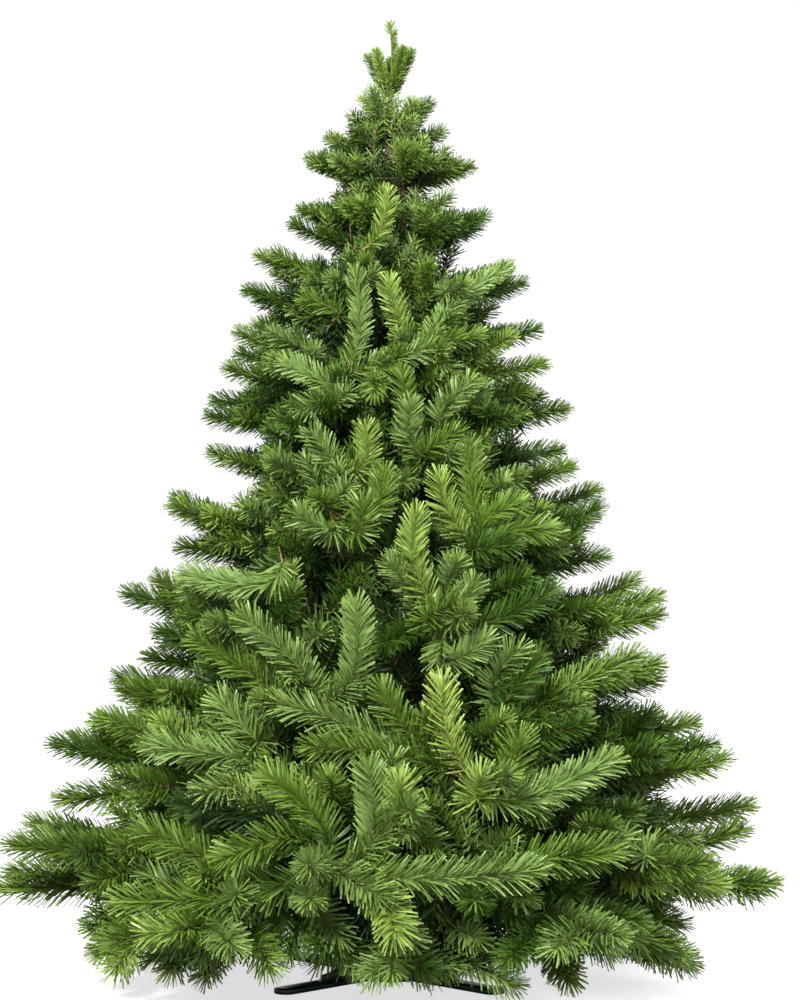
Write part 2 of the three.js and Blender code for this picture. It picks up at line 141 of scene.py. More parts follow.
def add_lamp(name, place, size, watts):
    data = bpy.data.lights.new(name, "AREA")
    data.shape = "DISK"
    data.size = size
    data.energy = watts
    lamp = bpy.data.objects.new(name, data)
    lamp.location = place
    lamp.rotation_euler = (LAMPS_AIM - Vector(place)).to_track_quat("-Z", "Y").to_euler()
    bpy.context.scene.collection.objects.link(lamp)


for lamp in LAMPS:
    add_lamp(*lamp)
print("lamps:", [lamp[0] for lamp in LAMPS])

# %% [markdown]
# ## Finishes
# Needles are many thousands of small blades, so each is one plain colour, and the variety comes from
# dealing several greens out to the sprays. Bark, enamel and steel are large enough
# to show grain, so their colour, roughness and bump come from noise at the scale of the real thing.
# Two effects serve more than one finish, so each is a node group: mottling, and the wear that bares
# an edge.

# %% Node helpers
def new_finish(name, roughness=0.5, specular=0.4, metallic=0.0):
    material = bpy.data.materials.new(name)
    material.use_nodes = True
    shader = material.node_tree.nodes["Principled BSDF"]
    shader.inputs["Roughness"].default_value = roughness
    shader.inputs["Specular IOR Level"].default_value = specular
    shader.inputs["Metallic"].default_value = metallic
    return material, material.node_tree, shader


def add_node(tree, kind, inputs=(), **settings):
    node = tree.nodes.new(kind)
    for name, value in settings.items():
        setattr(node, name, value)
    for name, value in dict(inputs).items():
        if isinstance(value, bpy.types.NodeSocket):
            tree.links.new(value, node.inputs[name])
        else:
            node.inputs[name].default_value = value
    return node


def new_group(name, inputs, outputs):
    group = bpy.data.node_groups.new(name, "ShaderNodeTree")
    for title, kind, value in inputs:
        socket = group.interface.new_socket(title, in_out="INPUT", socket_type=kind)
        socket.default_value = value
    for title, kind in outputs:
        group.interface.new_socket(title, in_out="OUTPUT", socket_type=kind)
    return group, group.nodes.new("NodeGroupInput"), group.nodes.new("NodeGroupOutput")


def blend_colours(tree, mask, first, second):
    node = add_node(tree, "ShaderNodeMix", data_type="RGBA")
    tree.links.new(mask, node.inputs[0])
    for socket, value in ((node.inputs[6], first), (node.inputs[7], second)):
        if isinstance(value, bpy.types.NodeSocket):
            tree.links.new(value, socket)
        else:
            socket.default_value = value
    return node.outputs[2]


# %% Mottling, a node group
mottling, into, out_of = new_group(
    "mottling",
    [("Vector", "NodeSocketVector", (0, 0, 0)), ("Scale", "NodeSocketFloat", 60.0),
     ("From", "NodeSocketFloat", 0.35), ("To", "NodeSocketFloat", 0.65)],
    [("Mask", "NodeSocketFloat"), ("Fine", "NodeSocketFloat")],
)
broad = add_node(mottling, "ShaderNodeTexNoise", {"Vector": into.outputs["Vector"],
                 "Scale": into.outputs["Scale"], "Detail": 5.0, "Roughness": 0.6})
finer_scale = add_node(mottling, "ShaderNodeMath", operation="MULTIPLY")
mottling.links.new(into.outputs["Scale"], finer_scale.inputs[0])
finer_scale.inputs[1].default_value = 7.0
fine = add_node(mottling, "ShaderNodeTexNoise", {"Vector": into.outputs["Vector"],
                "Scale": finer_scale.outputs[0], "Detail": 3.0})
spread = add_node(mottling, "ShaderNodeMapRange", {"Value": broad.outputs["Fac"],
                  "From Min": into.outputs["From"], "From Max": into.outputs["To"]})
mottling.links.new(spread.outputs["Result"], out_of.inputs["Mask"])
mottling.links.new(fine.outputs["Fac"], out_of.inputs["Fine"])
print("group:", mottling.name)

# %% Worn edges, a node group
worn_edges, into, out_of = new_group(
    "worn_edges",
    [("Radius", "NodeSocketFloat", 0.0015), ("Breakup", "NodeSocketFloat", 350.0),
     ("Vector", "NodeSocketVector", (0, 0, 0))],
    [("Mask", "NodeSocketFloat")],
)
rounded = add_node(worn_edges, "ShaderNodeBevel", {"Radius": into.outputs["Radius"]}, samples=4)
flat = add_node(worn_edges, "ShaderNodeNewGeometry")
turning = add_node(worn_edges, "ShaderNodeVectorMath", operation="DOT_PRODUCT")
worn_edges.links.new(rounded.outputs["Normal"], turning.inputs[0])
worn_edges.links.new(flat.outputs["Normal"], turning.inputs[1])
breakup = add_node(worn_edges, "ShaderNodeTexNoise", {"Vector": into.outputs["Vector"],
                   "Scale": into.outputs["Breakup"], "Detail": 4.0})
edge = add_node(worn_edges, "ShaderNodeMapRange", {"Value": turning.outputs["Value"],
                "From Min": 0.995, "From Max": 0.9})
chips = add_node(worn_edges, "ShaderNodeMapRange", {"Value": breakup.outputs["Fac"],
                 "From Min": 0.5, "From Max": 0.62})
worn = add_node(worn_edges, "ShaderNodeMath", operation="MULTIPLY")
worn_edges.links.new(edge.outputs["Result"], worn.inputs[0])
worn_edges.links.new(chips.outputs["Result"], worn.inputs[1])
worn_edges.links.new(worn.outputs[0], out_of.inputs["Mask"])
print("group:", worn_edges.name)

# %% Bark
# Fir bark is grey-brown and fairly smooth, with short level pores.
bark, tree, shader = new_finish("fir_bark", roughness=0.9, specular=0.2)
place = add_node(tree, "ShaderNodeTexCoord").outputs["Object"]
patches = add_node(tree, "ShaderNodeGroup", node_tree=mottling, inputs={"Vector": place, "Scale": 38})
colour = blend_colours(tree, patches.outputs["Mask"], from_screen(78, 62, 48), from_screen(128, 112, 94))
stretch = add_node(tree, "ShaderNodeMapping", {"Vector": place, "Scale": (60, 60, 420)})
pores = add_node(tree, "ShaderNodeTexVoronoi", {"Vector": stretch.outputs["Vector"], "Scale": 1.0})
pore_mask = add_node(tree, "ShaderNodeMapRange", {"Value": pores.outputs["Distance"],
                     "From Min": 0.32, "From Max": 0.18})
colour = blend_colours(tree, pore_mask.outputs["Result"], colour, from_screen(150, 132, 108))
tree.links.new(colour, shader.inputs["Base Color"])
relief = add_node(tree, "ShaderNodeBump", {"Height": patches.outputs["Fine"], "Strength": 0.6,
                  "Distance": 0.0012})
tree.links.new(relief.outputs["Normal"], shader.inputs["Normal"])
print("finish:", bark.name)

# %% Cut wood, for the trunk's sawn foot
cut_wood, tree, shader = new_finish("cut_wood", roughness=0.8, specular=0.2)
place = add_node(tree, "ShaderNodeTexCoord").outputs["Object"]
rings = add_node(tree, "ShaderNodeTexWave", {"Vector": place, "Scale": 95.0, "Distortion": 1.6,
                 "Detail": 2.0, "Detail Scale": 3.0}, wave_type="RINGS", rings_direction="Z")
colour = blend_colours(tree, rings.outputs["Fac"], from_screen(190, 156, 108), from_screen(222, 196, 152))
tree.links.new(colour, shader.inputs["Base Color"])
print("finish:", cut_wood.name)

# %% Enamel and steel of the stand
enamel, tree, shader = new_finish("green_enamel", roughness=0.35, specular=0.5)
shader.inputs["Coat Weight"].default_value = 0.3
place = add_node(tree, "ShaderNodeTexCoord").outputs["Object"]
cloud = add_node(tree, "ShaderNodeGroup", node_tree=mottling, inputs={"Vector": place, "Scale": 22})
wear = add_node(tree, "ShaderNodeGroup", node_tree=worn_edges, inputs={"Vector": place})
coat = blend_colours(tree, cloud.outputs["Mask"], from_screen(26, 74, 48), from_screen(36, 88, 58))
colour = blend_colours(tree, wear.outputs["Mask"], coat, from_screen(120, 118, 112))
tree.links.new(colour, shader.inputs["Base Color"])
gloss = add_node(tree, "ShaderNodeMapRange", {"Value": cloud.outputs["Mask"], "To Min": 0.3,
                 "To Max": 0.46})
tree.links.new(gloss.outputs["Result"], shader.inputs["Roughness"])
peel = add_node(tree, "ShaderNodeBump", {"Height": cloud.outputs["Fine"], "Strength": 0.12,
                "Distance": 0.0004})
tree.links.new(peel.outputs["Normal"], shader.inputs["Normal"])

steel, tree, shader = new_finish("zinc_plated_steel", roughness=0.35, specular=0.5, metallic=1.0)
place = add_node(tree, "ShaderNodeTexCoord").outputs["Object"]
spangle = add_node(tree, "ShaderNodeGroup", node_tree=mottling, inputs={"Vector": place, "Scale": 160})
wear = add_node(tree, "ShaderNodeGroup", node_tree=worn_edges, inputs={"Vector": place, "Radius": 0.0008})
plate = blend_colours(tree, spangle.outputs["Mask"], from_screen(150, 152, 154),
                      from_screen(186, 188, 188))
colour = blend_colours(tree, wear.outputs["Mask"], plate, from_screen(214, 214, 210))
tree.links.new(colour, shader.inputs["Base Color"])
gloss = add_node(tree, "ShaderNodeMapRange", {"Value": spangle.outputs["Fine"], "To Min": 0.25,
                 "To Max": 0.5})
tree.links.new(gloss.outputs["Result"], shader.inputs["Roughness"])
print("finishes:", enamel.name, steel.name)

# %% Twigs and needles, in plain colours
# The greens run from dark to light. The darkest are painted shade, dealt to needles deep in the crown.
# The lightest are partly this year's paler growth at the shoots' ends and partly painted light on the
# crown's outside. One is the blue-grey of needles that turn their waxy underside out.
def plain_finish(name, colour, roughness, specular):
    material, _, shader = new_finish(name, roughness, specular)
    shader.inputs["Base Color"].default_value = from_screen(*colour)
    return material


TINTS = {
    "deep": (26, 50, 8),
    "dark": (56, 86, 16),
    "leaf": (84, 111, 32),
    "waxy": (102, 128, 60),
    "light": (118, 143, 58),
    "fresh": (140, 161, 72),
}
TINT_ORDER = list(TINTS)
needle_greens = [plain_finish(f"needles_{tint}", TINTS[tint], 0.5, 0.45) for tint in TINT_ORDER]
twig_browns = [plain_finish("twig_old", (82, 68, 46), 0.85, 0.2),
               plain_finish("twig_young", (124, 104, 62), 0.7, 0.3)]
bud_brown = plain_finish("bud_brown", (132, 112, 62), 0.6, 0.3)
print("greens:", len(needle_greens))

# %% [markdown]
# ## The stand
# A plain stand is two flat bars crossed under a round plate, a tube that takes the trunk's foot, four
# webs that stiffen the tube, and three screws with bar handles that press on the trunk. Plate and
# bars are cut from sheet with rounded corners, so they start as simple shapes that are extruded and
# bevelled. The tube is turned, so its section is spun about the axis.

# %% Stand sizes, in millimetres
PLATE_R, PLATE_THICK, ARM_WIDE, ARM_REACH, ARM_TURN = 75, 8, 40, 255, 45
BORE_R, SOCKET_R, SOCKET_TOP, RIM_R, RIM_TALL = 35, 38.5, 150, 42, 10
GUSSET_RUN, GUSSET_TALL, GUSSET_THICK = 120, 96, 6
SCREW_TURNS, SCREW_Z, SCREW_R, SCREW_OUT = (90, 210, 330), 126, 5, 92
BOSS_R, BOSS_OUT, HANDLE_HALF, HANDLE_R = 10, 12, 24, 4
GAP = 0.3


def finish_piece(bm, name, material, *nodes, smooth=35):
    """Turns a bmesh in millimetres into a piece at the origin that stands for CAD nodes."""
    bmesh.ops.recalc_face_normals(bm, faces=bm.faces)
    bmesh.ops.scale(bm, vec=(MM, MM, MM), verts=bm.verts)
    mesh = bpy.data.meshes.new(name)
    bm.to_mesh(mesh)
    bm.free()
    for one in material if isinstance(material, list) else [material]:
        mesh.materials.append(one)
    mesh.shade_smooth()
    mesh.set_sharp_from_angle(angle=math.radians(smooth))
    piece = add_object(name, mesh)
    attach(piece, "root")
    if nodes:
        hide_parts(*nodes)
    print(name, len(mesh.polygons), "faces")
    return piece


def bevel_edges(bm, edges, offset, segments):
    bmesh.ops.bevel(bm, geom=edges, offset=offset, segments=segments, affect="EDGES", profile=0.5,
                    material=-1)


# %% The crossed bars and the plate
def crossed_bars():
    bm = bmesh.new()
    half = ARM_WIDE / 2
    bmesh.ops.create_grid(bm, x_segments=1, y_segments=1, size=half)
    for edge in list(bm.edges):
        outwards = (edge.verts[0].co + edge.verts[1].co).normalized()
        made = bmesh.ops.extrude_edge_only(bm, edges=[edge])
        ends = [v for v in made["geom"] if isinstance(v, bmesh.types.BMVert)]
        bmesh.ops.translate(bm, verts=ends, vec=outwards * (ARM_REACH - half))
    made = bmesh.ops.extrude_face_region(bm, geom=list(bm.faces))
    top = [v for v in made["geom"] if isinstance(v, bmesh.types.BMVert)]
    bmesh.ops.translate(bm, verts=top, vec=(0, 0, PLATE_THICK - 0.4))
    upright = [e for e in bm.edges if abs(e.verts[0].co.z - e.verts[1].co.z) > 1
               and e.verts[0].co.xy.length > ARM_REACH - half]
    bevel_edges(bm, upright, half - 0.05, 8)
    rim = [e for e in bm.edges if abs(e.verts[0].co.z - e.verts[1].co.z) < 0.01
           and e.is_manifold and e.calc_face_angle() > 1]
    bevel_edges(bm, rim, 0.9, 2)
    bmesh.ops.rotate(bm, verts=bm.verts, matrix=Matrix.Rotation(math.radians(ARM_TURN), 3, "Z"))
    return bm


def add_turned(bm, profile, steps=64):
    """Spins a closed section, given as (radius, height) pairs, about the upright axis."""
    ring = [bm.verts.new((r, 0, z)) for r, z in profile]
    edges = [bm.edges.new((ring[i], ring[(i + 1) % len(ring)])) for i in range(len(ring))]
    bmesh.ops.spin(bm, geom=ring + edges, axis=(0, 0, 1), cent=(0, 0, 0), angle=math.tau, steps=steps,
                   use_merge=True)


base = crossed_bars()
CENTRE_HOLE = 6
add_turned(base, [
    (CENTRE_HOLE, 0.15), (PLATE_R - 1, 0.15), (PLATE_R, 1.2), (PLATE_R, PLATE_THICK - 1.2),
    (PLATE_R - 1.2, PLATE_THICK), (CENTRE_HOLE + 1, PLATE_THICK), (CENTRE_HOLE, PLATE_THICK - 1),
])
stand_base = finish_piece(base, "stand_base", enamel, "stand_cross")

# %% The socket, with its rolled rim, its weld and the screws' bosses
def laid_down(turn, distance, z, axis="Y"):
    """Lays an upright shape down so that it points away from the trunk, or across that way."""
    return Matrix.Rotation(math.radians(turn), 4, "Z") @ Matrix.Translation((distance, 0, z)) \
        @ Matrix.Rotation(math.radians(90), 4, axis)


def one_rod(radius, start, end, turn, z, bevel=0.8):
    """A round rod that points away from the trunk, between two distances from its axis."""
    bm = bmesh.new()
    bmesh.ops.create_cone(bm, cap_ends=True, segments=24, radius1=radius, radius2=radius,
                          depth=end - start)
    rims = [e for e in bm.edges if len(e.link_faces) == 2 and e.calc_face_angle() > 1]
    bevel_edges(bm, rims, bevel, 2)
    bmesh.ops.transform(bm, matrix=laid_down(turn, (start + end) / 2, z), verts=bm.verts)
    return bm


def join_into(bm, *others):
    """Adds whole bmeshes to another through throwaway meshes."""
    for other in others:
        passing = bpy.data.meshes.new("passing")
        other.to_mesh(passing)
        other.free()
        bm.from_mesh(passing)
        bpy.data.meshes.remove(passing)
    return bm


socket = bmesh.new()
foot, rim_z = PLATE_THICK + GAP, SOCKET_TOP - RIM_TALL
add_turned(socket, [
    (BORE_R, foot), (SOCKET_R + 3.5, foot), (SOCKET_R + 3, foot + 1.2), (SOCKET_R + 1, foot + 3),
    (SOCKET_R, foot + 5), (SOCKET_R, rim_z - 2), (SOCKET_R + 0.8, rim_z - 0.6), (RIM_R - 1, rim_z + 0.4),
    (RIM_R, rim_z + 3), (RIM_R, SOCKET_TOP - 3), (RIM_R - 1.2, SOCKET_TOP - 0.8), (RIM_R - 3, SOCKET_TOP),
    (BORE_R + 1.5, SOCKET_TOP), (BORE_R, SOCKET_TOP - 1.5),
])
join_into(socket, *[one_rod(BOSS_R, BORE_R + 1.5, SOCKET_R + BOSS_OUT, turn, SCREW_Z)
                    for turn in SCREW_TURNS])
stand_socket = finish_piece(socket, "stand_tube", enamel, "stand_socket")

# %% The four webs
def web(turn):
    TOE, HEAD, CURVE_STEPS = 10, 12, 12
    inner, base_z = SOCKET_R + GAP, PLATE_THICK + GAP
    start, bend, end = (Vector(p) for p in ((inner + GUSSET_RUN, base_z + TOE),
                                            (inner + 2 * HEAD, base_z + 2 * TOE),
                                            (inner + HEAD, GUSSET_TALL)))
    curve = [start.lerp(bend, i / CURVE_STEPS).lerp(bend.lerp(end, i / CURVE_STEPS), i / CURVE_STEPS)
             for i in range(CURVE_STEPS + 1)]
    outline = [(inner, base_z), (inner + GUSSET_RUN, base_z), *curve, (inner, GUSSET_TALL)]
    bm = bmesh.new()
    sheet = bm.faces.new([bm.verts.new((x, -GUSSET_THICK / 2, z)) for x, z in outline])
    made = bmesh.ops.extrude_face_region(bm, geom=[sheet])
    far = [v for v in made["geom"] if isinstance(v, bmesh.types.BMVert)]
    bmesh.ops.translate(bm, verts=far, vec=(0, GUSSET_THICK, 0))
    edges = [e for e in bm.edges if e.is_manifold and e.calc_face_angle() > 0.7]
    bevel_edges(bm, edges, 0.8, 2)
    bmesh.ops.rotate(bm, verts=bm.verts, matrix=Matrix.Rotation(math.radians(turn), 3, "Z"))
    return bm


webs = join_into(bmesh.new(), *[web(ARM_TURN + 90 * i) for i in range(4)])
stand_webs = finish_piece(webs, "stand_webs", enamel, *[f"stand_gusset_{i}" for i in range(1, 5)])

# %% [markdown]
# Each screw has a real thread. A thread is a small tooth swept round a rod while it moves along it,
# which is what spin does when it is also given a step along the axis. The thread stops short of the
# handle, where the rod is plain.

# %% The three screws
def screw(turn):
    PITCH, TURNS, PER_TURN, ROOT_R = 2.0, 20, 16, SCREW_R - 0.9
    tip, thread_end = BORE_R - 2 + GAP, SCREW_OUT - 12
    shank = bmesh.new()
    verts = [shank.verts.new((r, 0, z)) for r, z in
             ((ROOT_R - 0.1, -PITCH * 0.42), (SCREW_R, 0), (ROOT_R - 0.1, PITCH * 0.42))]
    edges = [shank.edges.new(verts[:2]), shank.edges.new(verts[1:])]
    steps = TURNS * PER_TURN
    bmesh.ops.spin(shank, geom=verts + edges, axis=(0, 0, 1), cent=(0, 0, 0), steps=steps,
                   angle=math.tau * TURNS, dvec=(0, 0, PITCH / PER_TURN))
    open_ends = [e for e in shank.edges if e.is_boundary]
    bmesh.ops.holes_fill(shank, edges=open_ends, sides=0)
    bmesh.ops.transform(shank, matrix=laid_down(turn, tip + 3, SCREW_Z), verts=shank.verts)
    core = one_rod(ROOT_R, tip, SCREW_OUT - 2 * HANDLE_R, turn, SCREW_Z, bevel=0.6)
    plain = one_rod(SCREW_R, thread_end, SCREW_OUT, turn, SCREW_Z, bevel=0.8)
    handle = bmesh.new()
    bmesh.ops.create_cone(handle, cap_ends=True, segments=20, radius1=HANDLE_R, radius2=HANDLE_R,
                          depth=2 * HANDLE_HALF)
    rims = [e for e in handle.edges if e.is_manifold and e.calc_face_angle() > 1]
    bevel_edges(handle, rims, 1.6, 4)
    across = laid_down(turn, SCREW_OUT - HANDLE_R, SCREW_Z, "X")
    bmesh.ops.transform(handle, matrix=across, verts=handle.verts)
    return join_into(bmesh.new(), shank, core, plain, handle)


for number, turn in enumerate(SCREW_TURNS, 1):
    piece = finish_piece(screw(turn), f"clamp_screw_{number}", steel, f"stand_screw_{number}")

# %% [markdown]
# ## Where the limbs grow
# A young fir puts out one ring of limbs a year, so limbs stand in tiers. The tiers here are the ones
# that the tree's solids follow: where each leaves the trunk, how far and how high its tips are, and
# how it slopes there. The same arithmetic is written again, so that the wood and needles made below
# lie where the solids are. Chance depends only on numbers handed to it, so every run grows the same
# tree. Between the rings a fir puts out weaker limbs. In front and behind they are scattered and close
# the gaps between the rings, and at the sides they are single long fingers with sky between them.

# %% The tiers
#        height reach tip slope fan turn, from the lowest. Millimetres and degrees.
TIERS = [
    (214, 540, 78, -0.3, 0.0, 30), (268, 664, 158, 0.05, 0.7, 0), (350, 652, 254, 0.22, 1, 18),
    (450, 580, 390, 0.34, 1, 46), (552, 474, 496, 0.36, 1, 8), (656, 476, 628, 0.34, 1, 50),
    (752, 382, 802, 0.42, 1, 12), (848, 320, 868, 0.4, 1, 54), (940, 318, 950, 0.25, 1, 10),
    (1034, 276, 1030, 0.3, 1, 48), (1126, 234, 1150, 0.45, 1, 0), (1212, 178, 1268, 0.6, 1, 14),
    (1300, 150, 1362, 0.4, 1, 50), (1384, 72, 1468, 1.5, 1, 4),
]
MASSES = [6, 3, 3, 3, 3, 3, 3, 3, 3, 3, 3, 3, 2, 2]  # solids that share each tier
LIMBS = 6
BOUGH_SHARE, BOUGH_STOUTNESS = 0.36, 1.25  # the lowest tier's limbs start as bare boughs
TRUNK_FOOT_Z, TRUNK_TIP_Z, TRUNK_FOOT_R, TRUNK_TIP_R, TRUNK_SWAY = 8.3, 1462, 33, 5, 7
LEADER_TIP_Z = 1602
UP = np.array((0.0, 0.0, 1.0))


def chance(a, b, c):
    s = math.sin(a * 127.1 + b * 311.7 + c * 74.7 + 17.3) * 43758.5453
    return s - math.floor(s)


def around(middle, spread, a, b, c):
    return middle + spread * (2 * chance(a, b, c) - 1)


def unit(v):
    return v / np.maximum(np.linalg.norm(v, axis=-1, keepdims=True), 1e-9)


def mix(a, b, t):
    return a + (b - a) * t


# %% The trunk's line and the limbs' lines
def over_socket(z):
    return max(0.0, z - SOCKET_TOP) / (TRUNK_TIP_Z - SOCKET_TOP)


def trunk_radius(z):
    return mix(TRUNK_FOOT_R, TRUNK_TIP_R, over_socket(z))


def trunk_axis(z):
    turn = math.pi * over_socket(z)
    return np.array((-TRUNK_SWAY * math.sin(turn), TRUNK_SWAY * math.sin(2 * turn), z))


def sagging_line(z, turn, reach, tip_z, slope):
    """A function from shares of a limb's length, from the trunk's axis to its tip, to points."""
    sag = (slope - (tip_z - z) / reach) * reach / 4
    foot = trunk_axis(z)

    def line(share):
        share = np.asarray(share, float)
        return np.stack((foot[0] * (1 - share) + math.cos(turn) * reach * share,
                         foot[1] * (1 - share) + math.sin(turn) * reach * share,
                         mix(z, tip_z, share) - 4 * sag * share * (1 - share)), axis=-1)
    return line


# %% The rings' limbs
def new_limb(tier, number, z, reach, fan, turn, tip_z, slope, weak=True):
    """fan is the share of their lift that the limb's first side shoots keep."""
    return {"tier": tier, "number": number, "z": z, "reach": reach, "fan": fan, "weak": weak,
            "line": sagging_line(z, turn, reach, tip_z, slope)}


def tier_limb(tier, number):
    z, full_reach, tip, slope, fan, tier_turn = TIERS[tier]
    turn = math.radians(tier_turn + 360 / LIMBS * number + around(0, 5, z, number, 1))
    reach = full_reach * around(0.99, 0.02, z, number, 2)
    tip_z = tip + (-10 if number % 2 else 10) + around(0, 8, z, number, 3)
    return new_limb(tier, number, z, reach, fan, turn, tip_z, slope, weak=False)


# %% The weaker limbs
WEAKER_TURNS = (238, 302, 58, 122)
WEAKER_REACH = 0.84  # as a share of what the rings above and below reach


def weaker_limb(tier, number):
    (z, reach, tip, slope, fan, _), (next_z, next_reach, next_tip, *_) = TIERS[tier:tier + 2]
    t = around(0.5, 0.1, z, number, 31)
    turn = math.radians(around(WEAKER_TURNS[number], 24, z, number, 32))
    reach = WEAKER_REACH * mix(reach, next_reach, t) * around(0.97, 0.07, z, number, 33)
    tip_z = mix(tip, next_tip, t) + around(0, 12, z, number, 34)
    return new_limb(tier, number, mix(z, next_z, t), reach, fan, turn, tip_z, slope)


# %% The side fingers
FINGER_FAN = 0.3
#    turn, how far the tip reaches, how high it is, slope
SIDE_FINGERS = [
    (176, 232, 1212, 0.55), (185, 250, 1146, 0.2), (173, 270, 1084, 0.5), (187, 284, 1018, 0.3),
    (178, 374, 808, 0.7), (186, 362, 718, 0.1), (175, 476, 500, 0.3), (183, 575, 392, 0.2),
    (177, 626, 256, 0.3), (178, 306, 962, 0.1), (187, 400, 582, 0.3), (174, 160, 1284, 0.3),
    (180, 652, 172, 0.1), (180, 570, 290, -0.15), (176, 205, 1102, 0.2), (182, 404, 680, 0.9),
    (179, 420, 530, 0.1), (178, 98, 1318, 0.8), (190, 520, 92, -0.1), (-8, 505, 95, -0.1),
    (5, 212, 1190, 0.6), (-6, 258, 1082, 0.3), (4, 368, 796, 0.8), (-5, 372, 702, 0.1),
    (6, 432, 668, 0.6), (-4, 462, 527, 0.3), (5, 532, 422, 0.25), (3, 616, 248, 0.4),
    (-8, 186, 1128, 0.9), (6, 160, 1262, 0.6), (5, 268, 968, 0.1), (-4, 552, 398, 0.45),
    (5, 300, 878, 0.1), (-2, 462, 636, 0.3), (176, 112, 1412, 0.9), (3, 98, 1422, 0.9),
    (180, 140, 1360, 0.2), (0, 128, 1352, 0.2),
]


def tier_under(z):
    return max(tier for tier in range(len(TIERS)) if tier == 0 or TIERS[tier][0] <= z)


def side_finger(number):
    turn, reach, tip_z, slope = SIDE_FINGERS[number]
    z = max(tip_z - 0.14 * reach - 20, TIERS[0][0])  # none leaves the trunk below the lowest ring
    return new_limb(tier_under(z + 30), number, z, reach, FINGER_FAN, math.radians(turn), tip_z, slope)


# %% All limbs, with their measures
def limb_length(limb):
    return float(np.linalg.norm(limb["line"](1.0) - limb["line"](0.0)))


def limb_radius(limb, share):
    return mix(limb["reach"] * 0.0125 + 2, 1.3, share ** 0.8)


def needle_reach(z):
    """How far needle tips stand off a shoot's axis. Low on the tree they are longest."""
    height = max(0.0, z - SOCKET_TOP) / (LEADER_TIP_Z - SOCKET_TOP)
    return mix(33, 12, height)


NEEDLES_PAST_END = 0.8  # of that reach, by which a limb's last needles pass the end of its wood
limbs = [tier_limb(tier, number) for tier in range(len(TIERS)) for number in range(LIMBS)]
weaker = [weaker_limb(tier, number) for tier in range(1, len(TIERS) - 1)
          for number in range(len(WEAKER_TURNS))]
weaker += [side_finger(number) for number in range(len(SIDE_FINGERS))]
print("limbs:", len(limbs), "weaker ones:", len(weaker), "tips out to",
      round(max(np.linalg.norm(limb["line"](1.0)[:2]) for limb in limbs)), "mm")

# %% [markdown]
# ## Trunk and limbs, with the bark's relief
# A trunk could be one cylinder with a bump map, but its outline would stay smooth. Instead a ring is
# extruded step by step along the trunk's line, and every corner is then moved in or out: shallow
# cracks that run up the trunk, blisters of resin, and a swelling where each tier's limbs leave it.
# The limbs are made the same way, thicker at the collar where they join the trunk.

# %% A limb of wood from a ring
def wood_limb(points, radii, sides, relief):
    """Extrudes a ring along points and moves its corners by relief(point, angle, length so far)."""
    bm = bmesh.new()
    ring = bmesh.ops.create_circle(bm, cap_ends=False, radius=1, segments=sides)["verts"]
    flats = [v.co.copy() for v in ring]
    edges = list(bm.edges)
    along = unit(np.gradient(points, axis=0))
    level = np.array((0.0, 1.0, 0.0)) if abs(unit(points[-1] - points[0])[2]) > 0.9 else UP
    so_far = 0.0
    rings = [ring]
    for step in range(len(points)):
        side = unit(np.cross(level, along[step]))
        over = np.cross(along[step], side)
        if step:
            so_far += float(np.linalg.norm(points[step] - points[step - 1]))
            made = bmesh.ops.extrude_edge_only(bm, edges=edges)["geom"]
            edges = [e for e in made if isinstance(e, bmesh.types.BMEdge)]
            fresh = {v for v in made if isinstance(v, bmesh.types.BMVert)}
            edges = [e for e in edges if e.verts[0] in fresh and e.verts[1] in fresh]
            ring = [next(e.other_vert(v) for e in v.link_edges if e.other_vert(v) in fresh)
                    for v in rings[-1]]
            rings.append(ring)
        for v, flat_place in zip(ring, flats):
            angle = math.atan2(flat_place.y, flat_place.x)
            radius = radii[step] + relief(points[step], angle, so_far)
            v.co = Vector(points[step] + radius * (side * flat_place.x + over * flat_place.y))
    for end in (rings[0], rings[-1]):
        bm.faces.new(end)
    return bm


# %% The trunk
def trunk_relief(point, angle, _):
    z = point[2]
    on_bark = Vector((math.cos(angle) * 30, math.sin(angle) * 30, z))
    cracks = -abs(noise.noise(Vector((on_bark.x * 0.16, on_bark.y * 0.16, z * 0.022))))
    blister = max(0.0, noise.noise(on_bark * 0.09) - 0.32) * 5
    rough = noise.noise(on_bark * 0.3) * 0.4
    whorl = sum(math.exp(-((z - tier[0]) / 11) ** 2) for tier in TIERS) * 1.6
    thin = trunk_radius(z) / TRUNK_FOOT_R
    held = 0.0 if z < SOCKET_TOP else min(1.0, (z - SOCKET_TOP) / 12)  # pressed smooth in the socket
    return (cracks * 1.6 + blister * 0.8 + rough) * thin * mix(0.35, 1, held) + whorl * thin * held


heights = np.concatenate((np.linspace(TRUNK_FOOT_Z, 300, 52), np.linspace(308, TRUNK_TIP_Z, 126)))
trunk_points = np.array([trunk_axis(z) for z in heights])
trunk_bm = wood_limb(trunk_points, [trunk_radius(z) - 0.2 for z in heights], 40, trunk_relief)
for face in trunk_bm.faces:
    if len(face.verts) > 4 and face.calc_center_median().z < 20:
        face.material_index = 1
trunk = finish_piece(trunk_bm, "fir_trunk", [bark, cut_wood], "trunk", smooth=50)

# %% The limbs
def limb_relief(point, angle, so_far):
    knot = noise.noise(Vector(point * 0.05)) * 0.5
    return noise.noise(Vector((math.cos(angle) * 2, math.sin(angle) * 2, so_far * 0.06))) * 0.45 + knot


